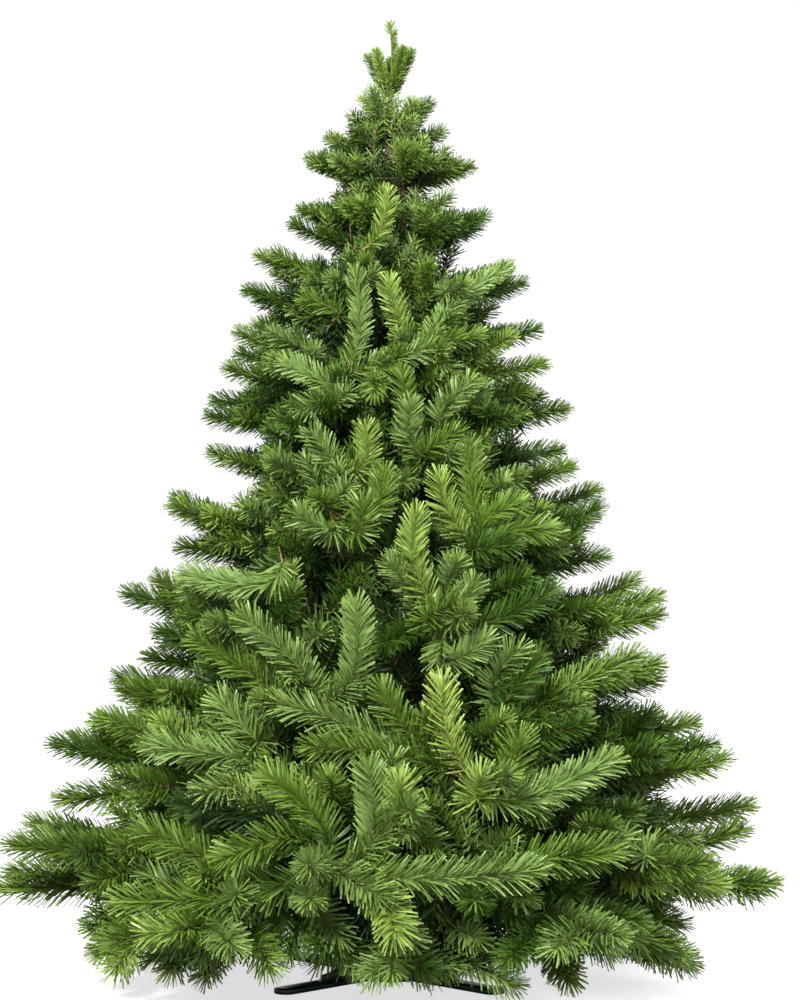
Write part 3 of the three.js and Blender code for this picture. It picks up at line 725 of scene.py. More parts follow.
def bark_limbs(some_limbs, name, nodes):
    whole = bmesh.new()
    for limb in some_limbs:
        line, length = limb["line"], limb_length(limb)
        inside = (trunk_radius(limb["z"]) - 4) / length
        end = 1 - NEEDLES_PAST_END * needle_reach(line(1.0)[2]) / length
        shares = np.linspace(inside, end, 8 + int(length / 40))
        stout = np.where((shares < BOUGH_SHARE) & (limb["tier"] == 0), BOUGH_STOUTNESS, 1.0)
        stout = np.convolve(np.pad(stout, 1, mode="edge"), (0.25, 0.5, 0.25), "valid")
        collar = 1 + 0.5 * np.exp(-(shares - inside) * length / 9)
        radii = limb_radius(limb, shares) * stout * collar
        join_into(whole, wood_limb(line(shares), radii, 8, limb_relief))
    piece = finish_piece(whole, name, bark, *nodes, smooth=60)


bark_limbs(limbs[:LIMBS], "low_boughs", [f"bough_tier01_{number + 1}" for number in range(LIMBS)])
bark_limbs(limbs[LIMBS:], "limbs", [])
bark_limbs(weaker, "weaker_limbs", [])

# %% [markdown]
# ## Shoots, in fans
# A limb branches once a year, just behind where its tip was: two shoots to the sides, one upwards, and
# now and then one down. The side shoots do the same in their turn. The first three of each limb are
# those that the solids have, at the same places and angles. Others complete the fan between them, stand
# up or hang down to close the space between the tiers, or hang from the lowest tiers as a fringe over
# the stand. A shoot is only a line of points with a thickness here. Twigs and needles are laid on these
# lines later.

# %% Side shoots of a limb
#              at, swing, lift, share of the limb's length
SIDE_SHOOTS = [(0.44, 34, 20, 0.5), (0.5, -36, -8, 0.46), (0.56, 6, 42, 0.34)]
UPRIGHT_SIDE_SHOOTS = [(0.4, 24, 34, 0.52), (0.48, -30, 4, 0.46)]
FAN_SHOOTS = [
    (0.28, 56, 8, 0.5), (0.31, -54, 6, 0.52), (0.38, -46, 6, 0.46), (0.4, 48, 4, 0.44),
    (0.62, 41, 8, 0.34), (0.65, -40, 6, 0.32), (0.79, 38, 8, 0.2),
]
FILL_SHOOTS = [
    (0.2, -40, 52, 0.42), (0.26, 34, 62, 0.4), (0.3, 8, -44, 0.36), (0.36, -24, 58, 0.42),
    (0.45, 36, 46, 0.4), (0.5, 26, -36, 0.34), (0.6, -30, 42, 0.32),
]
FRINGE_SHOOTS = [
    (0.5, 44, -22, 0.44), (0.56, -42, -24, 0.4), (0.7, 34, -22, 0.3), (0.74, -32, -24, 0.28),
    (0.84, 40, -14, 0.22), (0.88, -36, -16, 0.2),
]
FRINGE_TIERS = 2
#             from the bark, swing, lift, length
NEAR_TRUNK = [(20, 20, 64, 120), (38, -38, 40, 130), (50, 26, -48, 100)]
UPRIGHT_ABOVE = 1000
print("side shoots of a limb:", len(SIDE_SHOOTS + FAN_SHOOTS + FILL_SHOOTS), "and near the trunk:",
      len(NEAR_TRUNK))

# %% [markdown]
# ## The crown's edge
# Shoots that fill the crown must not blur its outline. Each kind may reach only a share of what the
# tiers' tips reach at its height. At the sides, wedges between the fingers are kept free, so that sky
# shows there, and under the fringe a lower edge is kept. Both are given as they are seen by the camera,
# so a shoot's end is set in the trunk's plane before it is compared.

# %% How far out shoots may reach
CROWN = sorted((tier[2], tier[1]) for tier in TIERS)
CROWN_HEIGHTS = [40, *(tip for tip, _ in CROWN), LEADER_TIP_Z]
CROWN_REACHES = [470, *(reach for _, reach in CROWN), 12]
#       shares of it that each kind of shoot may reach, at the sides and in front
KEPT = {"source": (0.9, 0.9), "fan": (0.86, 0.9), "fill": (0.66, 0.8), "fringe": (1.0, 1.0),
        "lobe": (1.1, 1.0)}


def crown_reach(z):
    return float(np.interp(z, CROWN_HEIGHTS, CROWN_REACHES))


def outwards(place):
    """Straight away from the trunk, on the level."""
    return unit(np.array((place[0], place[1], 0.0)))


def facing(place):
    """1 in the crown's front and back, 0 at its sides."""
    return min(1.0, max(0.0, 1.6 * abs(outwards(place)[1]) - 0.6))


# %% Wedges of sky, and the fringe's lower edge
#    A wedge is open outwards: how far from the axis it begins, its height there, its slope, and its half
#    height there and 100 mm farther out.
SKY_LEFT = [
    (95, 1326, 0.0, 20, 26), (110, 1220, 0.28, 16, 26), (164, 1168, -0.5, 10, 40),
    (218, 1046, -0.9, 10, 50), (219, 906, 0.0, 20, 22), (243, 820, 0.1, 16, 36),
    (243, 684, 0.15, 5, 24), (333, 553, 0.0, 6, 30), (313, 492, 0.1, 12, 8), (400, 326, 0.0, 8, 34),
    (405, 247, 0.13, 25, 8), (487, 112, 0.05, 10, 20),
]
SKY_RIGHT = [
    (45, 1318, 0.0, 12, 34), (109, 1203, 0.2, 12, 26), (151, 1147, -0.5, 10, 36),
    (141, 1022, 0.15, 8, 24), (216, 900, 0.0, 26, 22), (241, 822, 0.0, 12, 36),
    (248, 665, 0.0, 12, 34), (362, 549, -0.1, 5, 26), (328, 472, 0.0, 8, 6), (405, 316, 0.05, 8, 36),
    (472, 242, 0.1, 10, 6), (544, 199, 0.1, 12, 26), (472, 85, 0.2, 22, 6),
]
#    how far to the right, and how low needles may hang there
HEM = [
    (-528, 45), (-477, -25), (-377, -5), (-302, -35), (-251, 0), (-200, -10), (-150, -40), (200, -40),
    (251, -12), (301, -40), (352, 15), (427, 5), (477, 0), (528, 100),
]
SKY_MARGIN, HEM_MARGIN = 0.5, 0.55  # shares of the needles' reach that a shoot's end stays off them


def in_sky(place):
    """Whether a shoot's end would close a wedge of sky or hang under the fringe."""
    nearer = DISTANCE / (DISTANCE + place[1] * MM)
    x = place[0] * nearer
    z = EYE_HEIGHT / MM + (place[2] - EYE_HEIGHT / MM) * nearer
    if z - HEM_MARGIN * needle_reach(z) < np.interp(x, *zip(*HEM)):
        return True
    return any(abs(x) > start and abs(z - height - slope * (abs(x) - start))
               < mix(near, far, (abs(x) - start) / 100) + SKY_MARGIN * needle_reach(z)
               for start, height, slope, near, far in (SKY_LEFT if x < 0 else SKY_RIGHT))


def short_of_sky(root, direction, length):
    """The length of one of the solids' own side shoots, drawn in from a wedge of sky."""
    for shorter in (1, 0.85, 0.7):
        if not in_sky(root + direction * length * shorter):
            return length * shorter
    return length * 0.6


def kept_in_crown(root, direction, length, kind):
    """The length, shortened where the shoot's end would leave its kind's part of the crown."""
    for shorter in (1, 0.85, 0.7, 0.55, 0.4):
        tip = root + direction * length * shorter
        reach = mix(*KEPT[kind], facing(tip)) * crown_reach(tip[2])
        if math.hypot(tip[0], tip[1]) < reach and not in_sky(tip):
            return length * shorter
    return 0.0


print("wedges of sky:", len(SKY_LEFT + SKY_RIGHT))

# %% [markdown]
# ## Growing one shoot
# A shoot is kept as its path, its wood's radius at the root, the half width of its brush of needles,
# and the share of it that is bare. It leaves its root straight and bends a little upwards. A long side
# shoot bears pairs of shoots in its turn. Its green depends on how far out it ends and on which way it
# faces, which paints shade deep in the crown and light on its outside, most on its front and back, and
# on luck that a limb's shoots share, so that whole sprays differ from their neighbours.

# %% The list of shoots
dice = np.random.default_rng(24)
shoots = []


def add_shoot(tier, path, root_radius, brush, bare, tint, order):
    length = float(np.linalg.norm(np.diff(path, axis=0), axis=1).sum())
    out = max(math.hypot(*path[0][:2]), math.hypot(*path[-1][:2])) / crown_reach(path[-1][2])
    shoots.append({"tier": tier, "path": path, "root": root_radius, "brush": brush, "bare": bare,
                   "tint": tint, "order": order, "length": length, "out": out})
    return shoots[-1]


def curved(root, direction, length, over, bow, wander):
    """Points of a shoot that leaves root straight and bends a little upwards."""
    t = np.linspace(0, 1, 6 if length > 110 else 4)[:, None]
    sideways = np.cross(direction, over)
    return root + direction * length * t + (over * bow + sideways * wander) * length * t ** 2


# %% Directions of shoots
def laid_on_crown(direction, out, amount):
    """Turns a shoot towards the crown's surface, so that its flank is seen from outside."""
    return unit(direction - out * amount * max(0.0, float(direction @ out)))


def turned(forward, over, aside, up):
    """A direction swung aside and lifted from forward, in degrees."""
    flat = np.cross(over, forward)
    aside, up = math.radians(aside), math.radians(up)
    level = forward * math.cos(aside) + flat * math.sin(aside)
    return unit(level * math.cos(up) + over * math.sin(up))


# %% Which green a shoot gets
TINT_STEPS = (0.16, 0.42, 0.82, 1.16)
WAXY_SHARE = 0.6


def deal_tint(tier, tip, lift, spray_luck):
    """An index into the greens: dark deep in the crown, as painted shade, and light far out, most on the
    front and back, as painted light.
    """
    out = math.hypot(tip[0], tip[1]) / crown_reach(tip[2])
    # Painted shade deep in the crown, and painted light far out and on the front and back. Rising shoots
    # and the lowest tier come out a little lighter.
    score = 0.5 * (out - 0.4) + mix(0.13, 0.26, facing(tip)) + 0.002 * lift + spray_luck
    score += dice.normal(0, 0.05)
    if tier == 0:
        score += 0.2
    if out > 0.75:
        score = max(score, 0.2)
    if facing(tip) > 0.2 and 0.26 < score < 0.8 and dice.random() < WAXY_SHARE:
        return TINT_ORDER.index("waxy")
    green = ("deep", "dark", "leaf", "light", "fresh")[sum(score > step for step in TINT_STEPS)]
    return TINT_ORDER.index(green)


# %% Pairs of twigs on side shoots
SHORTEST_LIMB_SHOOT, SHORTEST_SHOOT, SHORTEST_TWIG = 40, 44, 62


def fork(tier, parent, over, luck, order, kind):
    """The pairs of shoots that a side shoot bears in its turn."""
    length, path = parent["length"], parent["path"]
    places = (0.26, 0.52) if length > 250 else (0.34,) if length > 165 else ()
    for place in places:
        at = place + dice.uniform(-0.04, 0.04)
        step = at * (len(path) - 1)
        low = int(step)
        root = path[low] + (path[low + 1] - path[low]) * (step - low)
        forward = unit(path[low + 1] - path[low])
        roll = math.radians(dice.uniform(-24, 24))
        for side in (1, -1):
            swing = side * dice.uniform(38, 48)
            direction = turned(forward, over, swing * math.cos(roll), swing * math.sin(roll) + 6)
            direction = laid_on_crown(direction, outwards(root), 0.8 * facing(root))
            reach = kept_in_crown(root, direction, (1 - at) * length * dice.uniform(0.66, 0.9), kind)
            if reach > SHORTEST_TWIG:
                grow_shoot(tier, root, direction, reach, over, luck, order + 1, kind)


# %% A shoot with its twigs
LOWEST_TWIG, RISE_TO_FRONT = 54, 0.07  # so that the fringe's needles just clear the floor


def grow_shoot(tier, root, direction, length, over, luck, order, kind):
    brush = needle_reach(root[2] + direction[2] * length) * (1 if order < 3 else 0.9)
    wood = max(length - 0.75 * brush, 0.55 * length)
    path = curved(root, direction, wood, over, dice.uniform(0.0, 0.07), dice.uniform(-0.05, 0.05))
    lowest = LOWEST_TWIG + (0 if kind == "lobe" else RISE_TO_FRONT * abs(path[-1][1]))
    if path[-1][2] < lowest:
        path[:, 2] += np.linspace(0, 1, len(path)) * (lowest - path[-1][2])
    stout = mix(1.4, 3.0, min(1, length / 300))
    lift = math.degrees(direction[2])  # near enough, because few shoots stand steep
    tint = deal_tint(tier, path[-1], lift, luck)
    shoot = add_shoot(tier, path, stout, brush, 0.08 if length < 120 else 0.12, tint, order)
    if order < 2:
        fork(tier, shoot, over, luck, order, kind)


# %% All the shoots of a limb
LIMB_END_BRUSH = 1.12  # how much wider than a common shoot's
LIMB_END_BARE = 0.34  # of its length, near the trunk


def heading(line, share):
    return unit(line(min(1, share + 0.02)) - line(max(0, share - 0.02)))


def upper_side(forward):
    return np.cross(forward, unit(np.array((-forward[1], forward[0], 0.0))))


def shoots_of(limb):
    """(place, swing, lift, share, kind) for each side shoot of a limb."""
    sources = UPRIGHT_SIDE_SHOOTS if limb["z"] > UPRIGHT_ABOVE else SIDE_SHOOTS
    kinds = [("source", sources), ("fan", FAN_SHOOTS), ("fill", FILL_SHOOTS)]
    if limb["tier"] < FRINGE_TIERS and not limb["weak"]:
        kinds.append(("fringe", FRINGE_SHOOTS))
    return [(*shoot, kind) for kind, table in kinds for shoot in table]


def grow_fan(limb):
    tier, z, line, length = limb["tier"], limb["z"], limb["line"], limb_length(limb)
    brush = needle_reach(line(1.0)[2])
    luck = dice.normal(0, 0.12)
    end = 1 - NEEDLES_PAST_END * brush / length
    green = deal_tint(tier, line(1.0), 0, luck)
    add_shoot(tier, line(np.linspace(0, end, 16)), 0, brush * LIMB_END_BRUSH, LIMB_END_BARE, green, 0)
    missing = 0.35 if limb["weak"] else 0.06
    for number, (at, swing, lift, share, kind) in enumerate(shoots_of(limb)):
        if length * share < SHORTEST_LIMB_SHOOT or (kind != "source" and dice.random() < missing):
            continue
        forward = heading(line, at)
        over = upper_side(forward)
        spread = 12 if kind == "fill" else 6
        aside = -swing if limb["number"] % 2 else swing
        aside += around(0, spread, z, limb["number"], 10 + number)
        up = lift * (limb["fan"] if kind == "source" else max(limb["fan"], 0.5))
        up += around(0, spread, z, limb["number"], 20 + number)
        root, reach = line(at), length * share
        out, front = outwards(root), facing(root)
        if kind == "fan":
            up += front * dice.choice((-1, 1)) * dice.uniform(10, 42)
        direction = turned(forward, over, aside, up)
        if kind == "source":
            reach = short_of_sky(root, direction, reach)
        else:
            laid = mix(0.6, 0.8, front) if kind == "fill" else 0.7 * front
            direction = laid_on_crown(direction, out, laid)
            reach = kept_in_crown(root, direction, reach * dice.uniform(0.9, 1.12), kind)
        if kind == "fill" or dice.random() < front:
            over = out
        if reach > SHORTEST_SHOOT:
            grow_shoot(tier, root, direction, reach, over, luck + dice.normal(-0.02, 0.22), 1, kind)


def grow_near_trunk(limb):
    z, line, length = limb["z"], limb["line"], limb_length(limb)
    small = min(1.0, limb["reach"] / 300)
    for off_bark, swing, lift, shoot_length in NEAR_TRUNK:
        at = (trunk_radius(z) + off_bark * small) / length
        forward = heading(line, at)
        over = upper_side(forward)
        direction = turned(forward, over, swing + dice.uniform(-25, 25), lift + dice.uniform(-10, 10))
        out = outwards(line(at))
        # Their luck is low, which makes these shoots near the trunk dark green: painted shade.
        grow_shoot(limb["tier"], line(at), laid_on_crown(direction, out, 0.6),
                   shoot_length * small * dice.uniform(0.85, 1.1), out, dice.normal(-0.2, 0.1), 2, "fill")


# %% Sprays of the fringe that hang lower than the rest
#        from which of the lowest limbs, where on it, and to what point
LOBES = [
    (3, 0.8, (-428, -250, 54)), (3, 0.52, (-277, -300, 54)), (4, 0.6, (178, -400, 54)),
    (5, 0.5, (268, -350, 54)), (3, 0.62, (-335, -290, 60)), (0, 0.8, (428, 250, 54)),
    (0, 0.52, (277, 300, 54)), (1, 0.6, (-178, 400, 54)),
]


def grow_lobe(number, share, tip):
    root = limbs[number]["line"](share)
    way = np.array(tip) - root
    length = float(np.linalg.norm(way)) + needle_reach(tip[2])
    grow_shoot(0, root, unit(way), length, outwards(root), dice.normal(0.1, 0.1), 1, "lobe")


# %% [markdown]
# ## Sprays on the crown's face
# Some long sprays lie on the crown's surface and are seen whole, with their flank to the camera. Each is
# given by where it starts and ends as seen from the front, and its green. It grows from the nearest
# limb, out to its start and then along the crown. The back has the same sprays, turned half round.

# %% Sprays seen whole
#           from x, z   to x, z, in the trunk's plane
SPRAYS = [
    (-30, 1046, -57, 1177, "waxy"), (2, 1093, 0, 1164, "light"), (47, 1096, 196, 1187, "waxy"),
    (20, 1056, 151, 1070, "leaf"), (-34, 1023, 90, 1053, "waxy"), (-20, 1046, -25, 976, "leaf"),
    (-60, 1113, -144, 1133, "leaf"), (20, 922, 22, 1009, "leaf"), (17, 865, 37, 956, "waxy"),
    (47, 919, 137, 996, "waxy"), (-57, 976, -174, 1026, "waxy"), (-75, 973, -146, 949, "waxy"),
    (-23, 822, -40, 916, "light"), (-74, 839, -131, 909, "waxy"), (7, 855, 114, 909, "leaf"),
    (-13, 721, -7, 842, "leaf"), (-30, 691, -47, 795, "leaf"), (-60, 705, -156, 773, "waxy"),
    (17, 681, 47, 772, "light"), (90, 755, 84, 834, "light"), (100, 708, 208, 721, "dark"),
    (126, 767, 218, 790, "leaf"), (154, 751, 266, 745, "leaf"), (134, 788, 134, 889, "leaf"),
    (-28, 423, -55, 621, "waxy"), (-47, 443, -248, 602, "waxy"), (-7, 406, -188, 457, "waxy"),
    (23, 383, -131, 383, "leaf"), (84, 380, 89, 488, "fresh"), (17, 396, -10, 477, "leaf"),
    (-198, 490, -323, 564, "leaf"), (-191, 343, -394, 385, "waxy"), (-204, 365, -281, 460, "waxy"),
    (-214, 326, -308, 304, "waxy"), (-67, 239, -201, 334, "leaf"), (8, 165, -34, 346, "waxy"),
    (27, 222, 20, 323, "light"), (144, 239, 374, 360, "waxy"), (121, 192, 374, 202, "leaf"),
    (-3, 142, 245, 174, "waxy"), (13, 142, 10, 68, "light"), (-121, 269, -273, 195, "leaf"),
    (-258, 182, -410, 241, "leaf"), (-191, 118, -449, 122, "leaf"), (134, 256, 154, 331, "light"),
    (201, 289, 218, 396, "leaf"), (234, 457, 412, 534, "leaf"), (151, 423, 245, 520, "dark"),
    (131, 557, 273, 644, "dark"), (57, 473, 161, 560, "waxy"), (134, 473, 216, 544, "waxy"),
    (17, 582, 121, 628, "leaf"), (-147, 617, -338, 669, "waxy"), (-147, 272, -345, 284, "deep"),
    (335, 112, 502, 18, "leaf"), (-7, 1230, -3, 1311, "light"),
]
SPRAY_BRUSH, SPRAY_STOUT = 1.15, 2.6  # how much wider than a common shoot's, and its wood's radius
SPRAY_ROOT, SPRAY_TIP = 0.84, 0.97  # how far out, as shares of the crown's reach
CROWN_DEPTH = 0.92  # of its width
limb_points = np.concatenate([limb["line"](np.linspace(0.1, 0.95, 30)) for limb in limbs + weaker])


# %% Growing the sprays
def on_crown(x, z, share):
    """The point inside the crown's front that is seen at x, z."""
    eye, y = EYE_HEIGHT / MM, 0.0
    for _ in range(5):
        farther = 1 + y * MM / DISTANCE
        place = np.array((x * farther, y, eye + (z - eye) * farther))
        reach = share * crown_reach(place[2])
        y = -CROWN_DEPTH * math.sqrt(max(reach ** 2 - place[0] ** 2, (0.3 * reach) ** 2))
    return place


def grow_spray(from_x, from_z, to_x, to_z, green, half_turn):
    bend, tip = on_crown(from_x, from_z, SPRAY_ROOT), on_crown(to_x, to_z, SPRAY_TIP)
    if half_turn:
        bend, tip = bend * (-1, -1, 1), tip * (-1, -1, 1)
    root = limb_points[np.argmin(np.linalg.norm(limb_points - bend, axis=1))]
    t = np.linspace(0, 1, 8)[:, None]
    path = root * (1 - t) ** 2 + 2 * bend * t * (1 - t) + tip * t ** 2
    hidden, seen = np.linalg.norm(bend - root), np.linalg.norm(tip - bend)
    bare = 0.35 * float(hidden / (hidden + seen))
    brush = SPRAY_BRUSH * needle_reach(tip[2])
    add_shoot(tier_under(root[2]), path, SPRAY_STOUT, brush, bare, TINT_ORDER.index(green), 3)


for half_turn in (False, True):
    for spray in SPRAYS:
        grow_spray(*spray, half_turn)
print("sprays:", 2 * len(SPRAYS))

# %% [markdown]
# ## Growing it all
# The limbs of the rings grow first, then the low sprays of the fringe, then the weaker limbs. The order
# only decides which draws of chance each limb gets.

# %% Every limb's shoots
for limb in limbs:
    grow_fan(limb)
    grow_near_trunk(limb)
for lobe in LOBES:
    grow_lobe(*lobe)
for limb in weaker:
    grow_fan(limb)
print("shoots:", len(shoots), "with", round(sum(s["length"] for s in shoots) / 1000), "m of twig")

# %% [markdown]
# ## The leader
# The tree ends in one upright shoot with a ring of five more round its foot. On the leader the needles
# lean up one side, and the other shows the bare young stem.

# %% Leader and top shoots
LEADER_RISE, LEADER_SPREAD, LEADER_TURN = 80, 42, 18
LEADER_GREENS = ("leaf", "dark", "leaf", "light", "leaf")
LEADER_TIER = len(TIERS)
leader_foot = trunk_axis(TRUNK_TIP_Z)
leader_brush = needle_reach(LEADER_TIP_Z)
t = np.linspace(0, 1, 10)[:, None]
leader_top = np.array((0.0, 0.0, LEADER_TIP_Z - NEEDLES_PAST_END * leader_brush))
leader_path = leader_foot + (leader_top - leader_foot) * t + np.array((3.0, 0, 0)) * np.sin(math.pi * t)
add_shoot(LEADER_TIER, leader_path, 3.4, leader_brush, 0.3, TINT_ORDER.index("leaf"), 0)
for i, green in enumerate(LEADER_GREENS):
    turn = math.radians(360 / len(LEADER_GREENS) * i + LEADER_TURN)
    out = np.array((math.cos(turn), math.sin(turn), 0.0))
    way = out * LEADER_SPREAD + UP * LEADER_RISE * around(0.93, 0.1, 99, i, 1)
    path = curved(leader_foot + UP * 6, unit(way), float(np.linalg.norm(way)) - 8, UP, 0.08, 0)
    add_shoot(LEADER_TIER, path, 2.6, leader_brush * 0.92, 0.04, TINT_ORDER.index(green), 1)
print("leader tip at", round(leader_path[-1][2]), "mm")

# %% [markdown]
# ## Twigs
# Twigs are too many for one operator call each, so their tubes are worked out with arrays: a ring of
# three corners at each point of a shoot, joined up the shoot and closed at its tip. Older wood near the
# limb is grey-brown, and the outer twigs are a lighter brown.

# %% Joined meshes from arrays
LEVEL_WAY = np.array((0.0, 1.0, 0.0))  # stands in for up where a shoot is upright


def joined_piece(name, corners, faces, slots, materials, nodes, smooth, finish_slot):
    mesh = bpy.data.meshes.new(name)
    mesh.vertices.add(len(corners))
    mesh.vertices.foreach_set("co", (corners * MM).astype(np.float32).ravel())
    mesh.loops.add(faces.size)
    mesh.loops.foreach_set("vertex_index", faces.astype(np.int32).ravel())
    mesh.polygons.add(len(faces))
    mesh.polygons.foreach_set("loop_start", np.arange(0, faces.size, 3, dtype=np.int32))
    mesh.polygons.foreach_set("material_index", slots.astype(np.int32))
    mesh.update(calc_edges=True)
    if smooth:
        mesh.shade_smooth()
    for material in materials:
        mesh.materials.append(material)
    piece = add_object(name, mesh)
    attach(piece, "root")
    if nodes:
        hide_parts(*nodes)
    print(name, len(faces), "triangles")


def stack(parts):
    """Joins (corners, faces, slots) triples, with the faces' numbers moved on."""
    starts = np.cumsum([0] + [len(part[0]) for part in parts[:-1]])
    return (np.concatenate([part[0] for part in parts]),
            np.concatenate([part[1] + start for part, start in zip(parts, starts)]),
            np.concatenate([part[2] for part in parts]))


def tube(path, radii, sides, slot):
    """A rod of triangles round a path, with a pointed end."""
    along = unit(np.gradient(path, axis=0))
    level = LEVEL_WAY if abs(unit(path[-1] - path[0])[2]) > 0.85 else UP
    side = unit(np.cross(level, along))
    over = np.cross(along, side)
    k = np.arange(sides)
    turns = k * math.tau / sides
    ring = np.cos(turns)[None, :, None] * side[:, None] + np.sin(turns)[None, :, None] * over[:, None]
    corners = (path[:, None] + radii[:, None, None] * ring).reshape(-1, 3)
    tip = path[-1] + along[-1] * radii[-1] * 1.5
    corners = np.vstack((corners, tip))
    starts = np.arange(len(path) - 1)[:, None] * sides
    a, b = (starts + k).ravel(), (starts + (k + 1) % sides).ravel()
    last = (len(path) - 1) * sides
    close = np.stack((last + k, last + (k + 1) % sides, np.full(sides, len(corners) - 1)), axis=1)
    faces = np.concatenate((np.stack((a, b, b + sides), 1), np.stack((a, b + sides, a + sides), 1),
                            close))
    return corners, faces, np.full(len(faces), slot)


# %% Laying the twigs
TWIG_TIP_R, TWIG_SIDES, ALL_YOUNG_FROM = 0.9, 3, 11
parts = []
for shoot in shoots:
    if shoot["root"] == 0:
        continue  # the limb's own wood has been made with its bark
    path = shoot["path"]
    radii = np.linspace(shoot["root"], TWIG_TIP_R, len(path))
    young = shoot["order"] >= 2 or shoot["tier"] >= ALL_YOUNG_FROM or dice.random() < 0.25
    parts.append(tube(path, radii, TWIG_SIDES, int(young)))
joined_piece("twigs", *stack(parts), twig_browns, [], True, "bark")

# %% [markdown]
# ## Needles
# A needle here is two triangles: a narrow blade, blunt at its end, that twists on its way out, so
# that it is seen and catches light from any side. Needles leave a twig in a spiral, each turned by the
# golden angle from the last, which is how a real shoot spaces them. On a level shoot those below part to
# both sides. They lean forward, more so at the tip. Each spray's needles take one green, but some at its
# end are a step lighter, partly as young growth is and partly as painted light, and some at its foot a
# step darker, which is painted shade. Needles stand closest on the crown's outside, where they are seen.
# They are longer and wider than in life, so that the crown closes.

# %% Where needles leave a shoot
GOLDEN = math.pi * (3 - math.sqrt(5))
CROWDING = ([0.4, 0.6, 0.85], [1.2, 2.3, 6.0])  # needles in a needle's width of twig, by how far out
CROWDING_AT_TIPS = 1.4  # times as many on a limb's own end, which is its stoutest shoot
CROWDING_ON_TOP = 1.6


def needle_roots(shoot, wide):
    """Shares of the shoot, places there, and the ways along it, to its side and over it."""
    path = shoot["path"]
    gone = np.concatenate(([0], np.cumsum(np.linalg.norm(np.diff(path, axis=0), axis=1))))
    start = shoot["bare"] * gone[-1]
    crowding = np.interp(shoot["out"], *CROWDING)
    if shoot["order"] == 0:
        crowding *= mix(CROWDING_AT_TIPS, 1, facing(path[-1]))
    if shoot["tier"] == LEADER_TIER:
        crowding *= CROWDING_ON_TOP
    count = max(12, int((gone[-1] - start) * crowding / wide))
    share = (np.arange(count) + dice.random(count)) / count
    where = start + (gone[-1] - start) * share
    base = np.stack([np.interp(where, gone, path[:, k]) for k in range(3)], axis=1)
    slopes = unit(np.gradient(path, axis=0))
    along = unit(np.stack([np.interp(where, gone, slopes[:, k]) for k in range(3)], axis=1))
    side = unit(np.cross(along, UP if abs(along[0][2]) < 0.9 else LEVEL_WAY))
    return share, base, along, side, np.cross(side, along)


def needle_radials(share, along, side, over, one_sided):
    """Which way off the shoot each needle stands. With one_sided, the lower ones all stand that way."""
    count = len(share)
    turn = np.arange(count) * GOLDEN + dice.uniform(0, math.tau) + dice.normal(0, 0.08, count)
    radial = np.cos(turn)[:, None] * side + np.sin(turn)[:, None] * over
    if one_sided is not None:
        lower = share < 0.8
        radial = np.where((lower & (radial @ one_sided < 0.1))[:, None], -radial, radial)
        radial = radial + one_sided * 0.7 * lower[:, None]
    level = 1 - np.abs(along[:, 2])
    radial[:, 2] = np.where(radial[:, 2] < 0, radial[:, 2] * (1 - 0.62 * level), radial[:, 2])
    return unit(radial - along * np.sum(radial * along, axis=1, keepdims=True))


# %% The needles of one shoot
NEEDLE_LENGTH = 1.26  # as a share of the brush's half width, because needles lean
NEEDLE_WIDTH, WIDER = 2.5, 0.03  # and how much wider each millimetre of length makes one
TIP_WIDTH = 0.55
LEAN = ([0, 0.1, 0.8, 0.94, 1], [64, 56, 50, 40, 22])  # degrees off the twig, by place along it
FULLNESS = ([0, 0.1, 0.88, 1], [0.75, 1, 0.96, 0.66])
# Greens one step lighter and one step darker. The lighter one at a spray's end is partly young growth and
# partly painted light. The darker one at its foot is painted shade.
LIGHTER = {0: 1, 1: 2, 2: 4, 3: 4, 4: 5, 5: 5}
PAINTED_SHADE_STEP = {0: 0, 1: 0, 2: 1, 3: 2, 4: 2, 5: 4}


def needles_of(shoot, one_sided=None):
    """Corners, faces and greens."""
    full_length = shoot["brush"] * NEEDLE_LENGTH
    wide = NEEDLE_WIDTH + WIDER * full_length
    share, base, along, side, over = needle_roots(shoot, wide)
    count = len(share)
    radial = needle_radials(share, along, side, over, one_sided)
    lean = np.radians(np.interp(share, *LEAN) + dice.normal(0, 3, count))
    direction = along * np.cos(lean)[:, None] + radial * np.sin(lean)[:, None]
    length = full_length * np.interp(share, *FULLNESS) * dice.uniform(0.9, 1.06, count)
    across = unit(np.cross(direction, over + dice.normal(0, 0.45, (count, 3))))
    belly = np.cross(direction, across)
    flip = np.where(np.sum(belly * over, axis=1) < 0, -1.0, 1.0)[:, None]
    across, belly = across * flip, belly * flip
    twist = np.radians(dice.uniform(25, 60, count) * dice.choice((-1, 1), count))[:, None]
    across_tip = across * np.cos(twist) + belly * np.sin(twist)
    root = base + radial
    tip = root + direction * length[:, None] + along * (length * dice.uniform(0.0, 0.1, count))[:, None]
    half = wide / 2 * dice.uniform(0.85, 1.15, (count, 1))
    corners = np.stack((root - across * half, tip - across_tip * half * TIP_WIDTH,
                        tip + across_tip * half * TIP_WIDTH, root + across * half), axis=1).reshape(-1, 3)
    first = np.arange(count)[:, None] * 4
    faces = np.stack((first + (0, 1, 2), first + (0, 2, 3)), 1)
    tint = np.full(count, shoot["tint"])
    # Partly painted light at the spray's end, and painted shade at its foot
    tint[(share > 0.9) & (dice.random(count) < 0.3)] = LIGHTER[shoot["tint"]]
    tint[(share < 0.2) & (dice.random(count) < 0.6)] = PAINTED_SHADE_STEP[shoot["tint"]]
    return corners, faces.reshape(-1, 3), np.repeat(tint, 2)


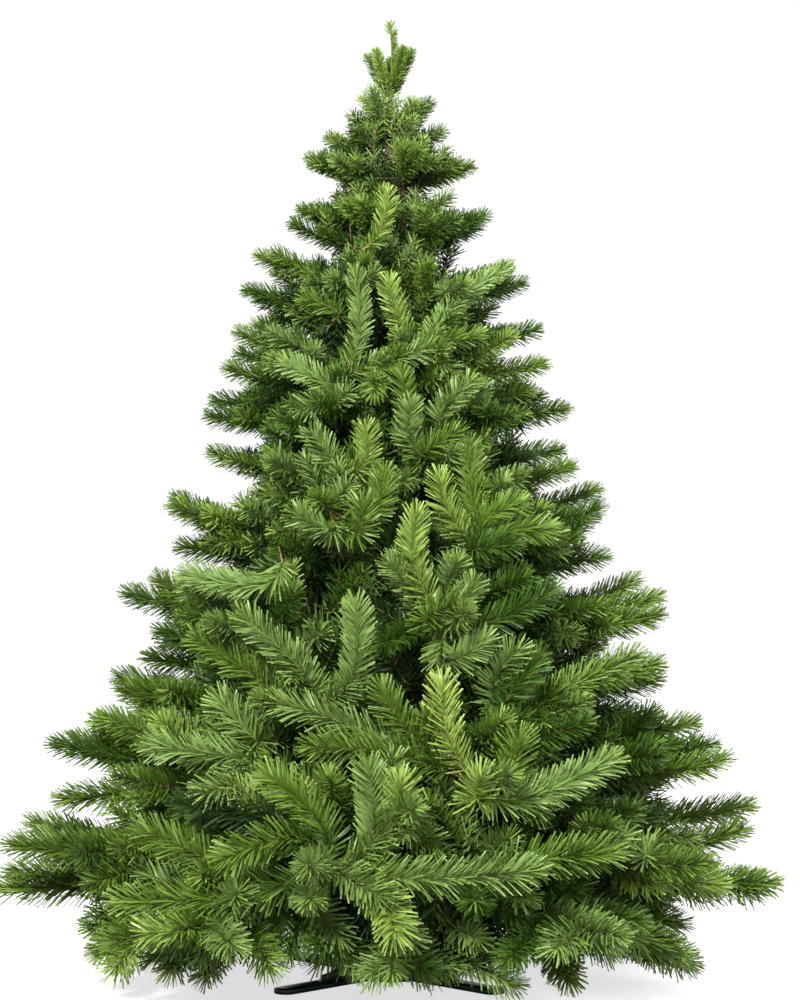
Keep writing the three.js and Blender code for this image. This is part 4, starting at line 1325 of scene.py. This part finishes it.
# %% Laying the needles, tier by tier
LEADER_SIDE = np.array((1.0, -0.2, 0.0))
total = 0
for tier in range(len(TIERS) + 1):
    leader = tier == LEADER_TIER
    parts = []
    for shoot in shoots:
        if shoot["tier"] == tier:
            parts.append(needles_of(shoot, LEADER_SIDE if leader and shoot["order"] == 0 else None))
    if leader:
        name, nodes = "needles_leader", ["foliage_leader"]
    else:
        name = f"needles_tier{tier + 1:02d}"
        nodes = [f"foliage_tier{tier + 1:02d}_{mass + 1}" for mass in range(MASSES[tier])]
    made = stack(parts)
    total += len(made[1])
    joined_piece(name, *made, needle_greens, nodes, False, "needles_young" if leader else "needles")
print("needles:", total // 2)

# %% [markdown]
# ## Buds
# Every shoot ends in a resinous bud, and a limb's own end in two. Each bud is a spindle with six
# corners and eight triangles.

# %% Buds
def buds_of(shoot):
    path = shoot["path"]
    tip, along = path[-1], unit(path[-1] - path[-2])
    side = unit(np.cross(along, np.array((0.31, 0.17, 0.93))))
    over = np.cross(side, along)
    size = mix(1.8, 3.2, shoot["brush"] / 42)
    parts = []
    for bud in range(2 if shoot["order"] == 0 else 1):
        turn = bud * math.pi + shoot["length"]
        aside = side * math.cos(turn) + over * math.sin(turn)
        axis = unit(along + aside * 0.55)
        u = unit(np.cross(axis, side + over * 0.3))
        v = np.cross(axis, u)
        middle = tip + axis * size * 0.55
        ring = [middle + (u * math.cos(a) + v * math.sin(a)) * size * 0.42
                for a in np.arange(4) * math.tau / 4]
        corners = np.array([tip, *ring, tip + axis * size * 1.5])
        k = np.arange(4)
        faces = np.concatenate((np.stack((np.zeros(4, int), 1 + (k + 1) % 4, 1 + k), 1),
                                np.stack((1 + k, 1 + (k + 1) % 4, np.full(4, 5)), 1)))
        parts.append((corners, faces, np.zeros(8, int)))
    return stack(parts)


joined_piece("buds", *stack([buds_of(shoot) for shoot in shoots]), [bud_brown], [], True, "bark")

# %% [markdown]
# ## The end
# The view layer is brought up to date. The needles must end where the solids end, or nearly.

# %% The end
bpy.context.view_layer.update()
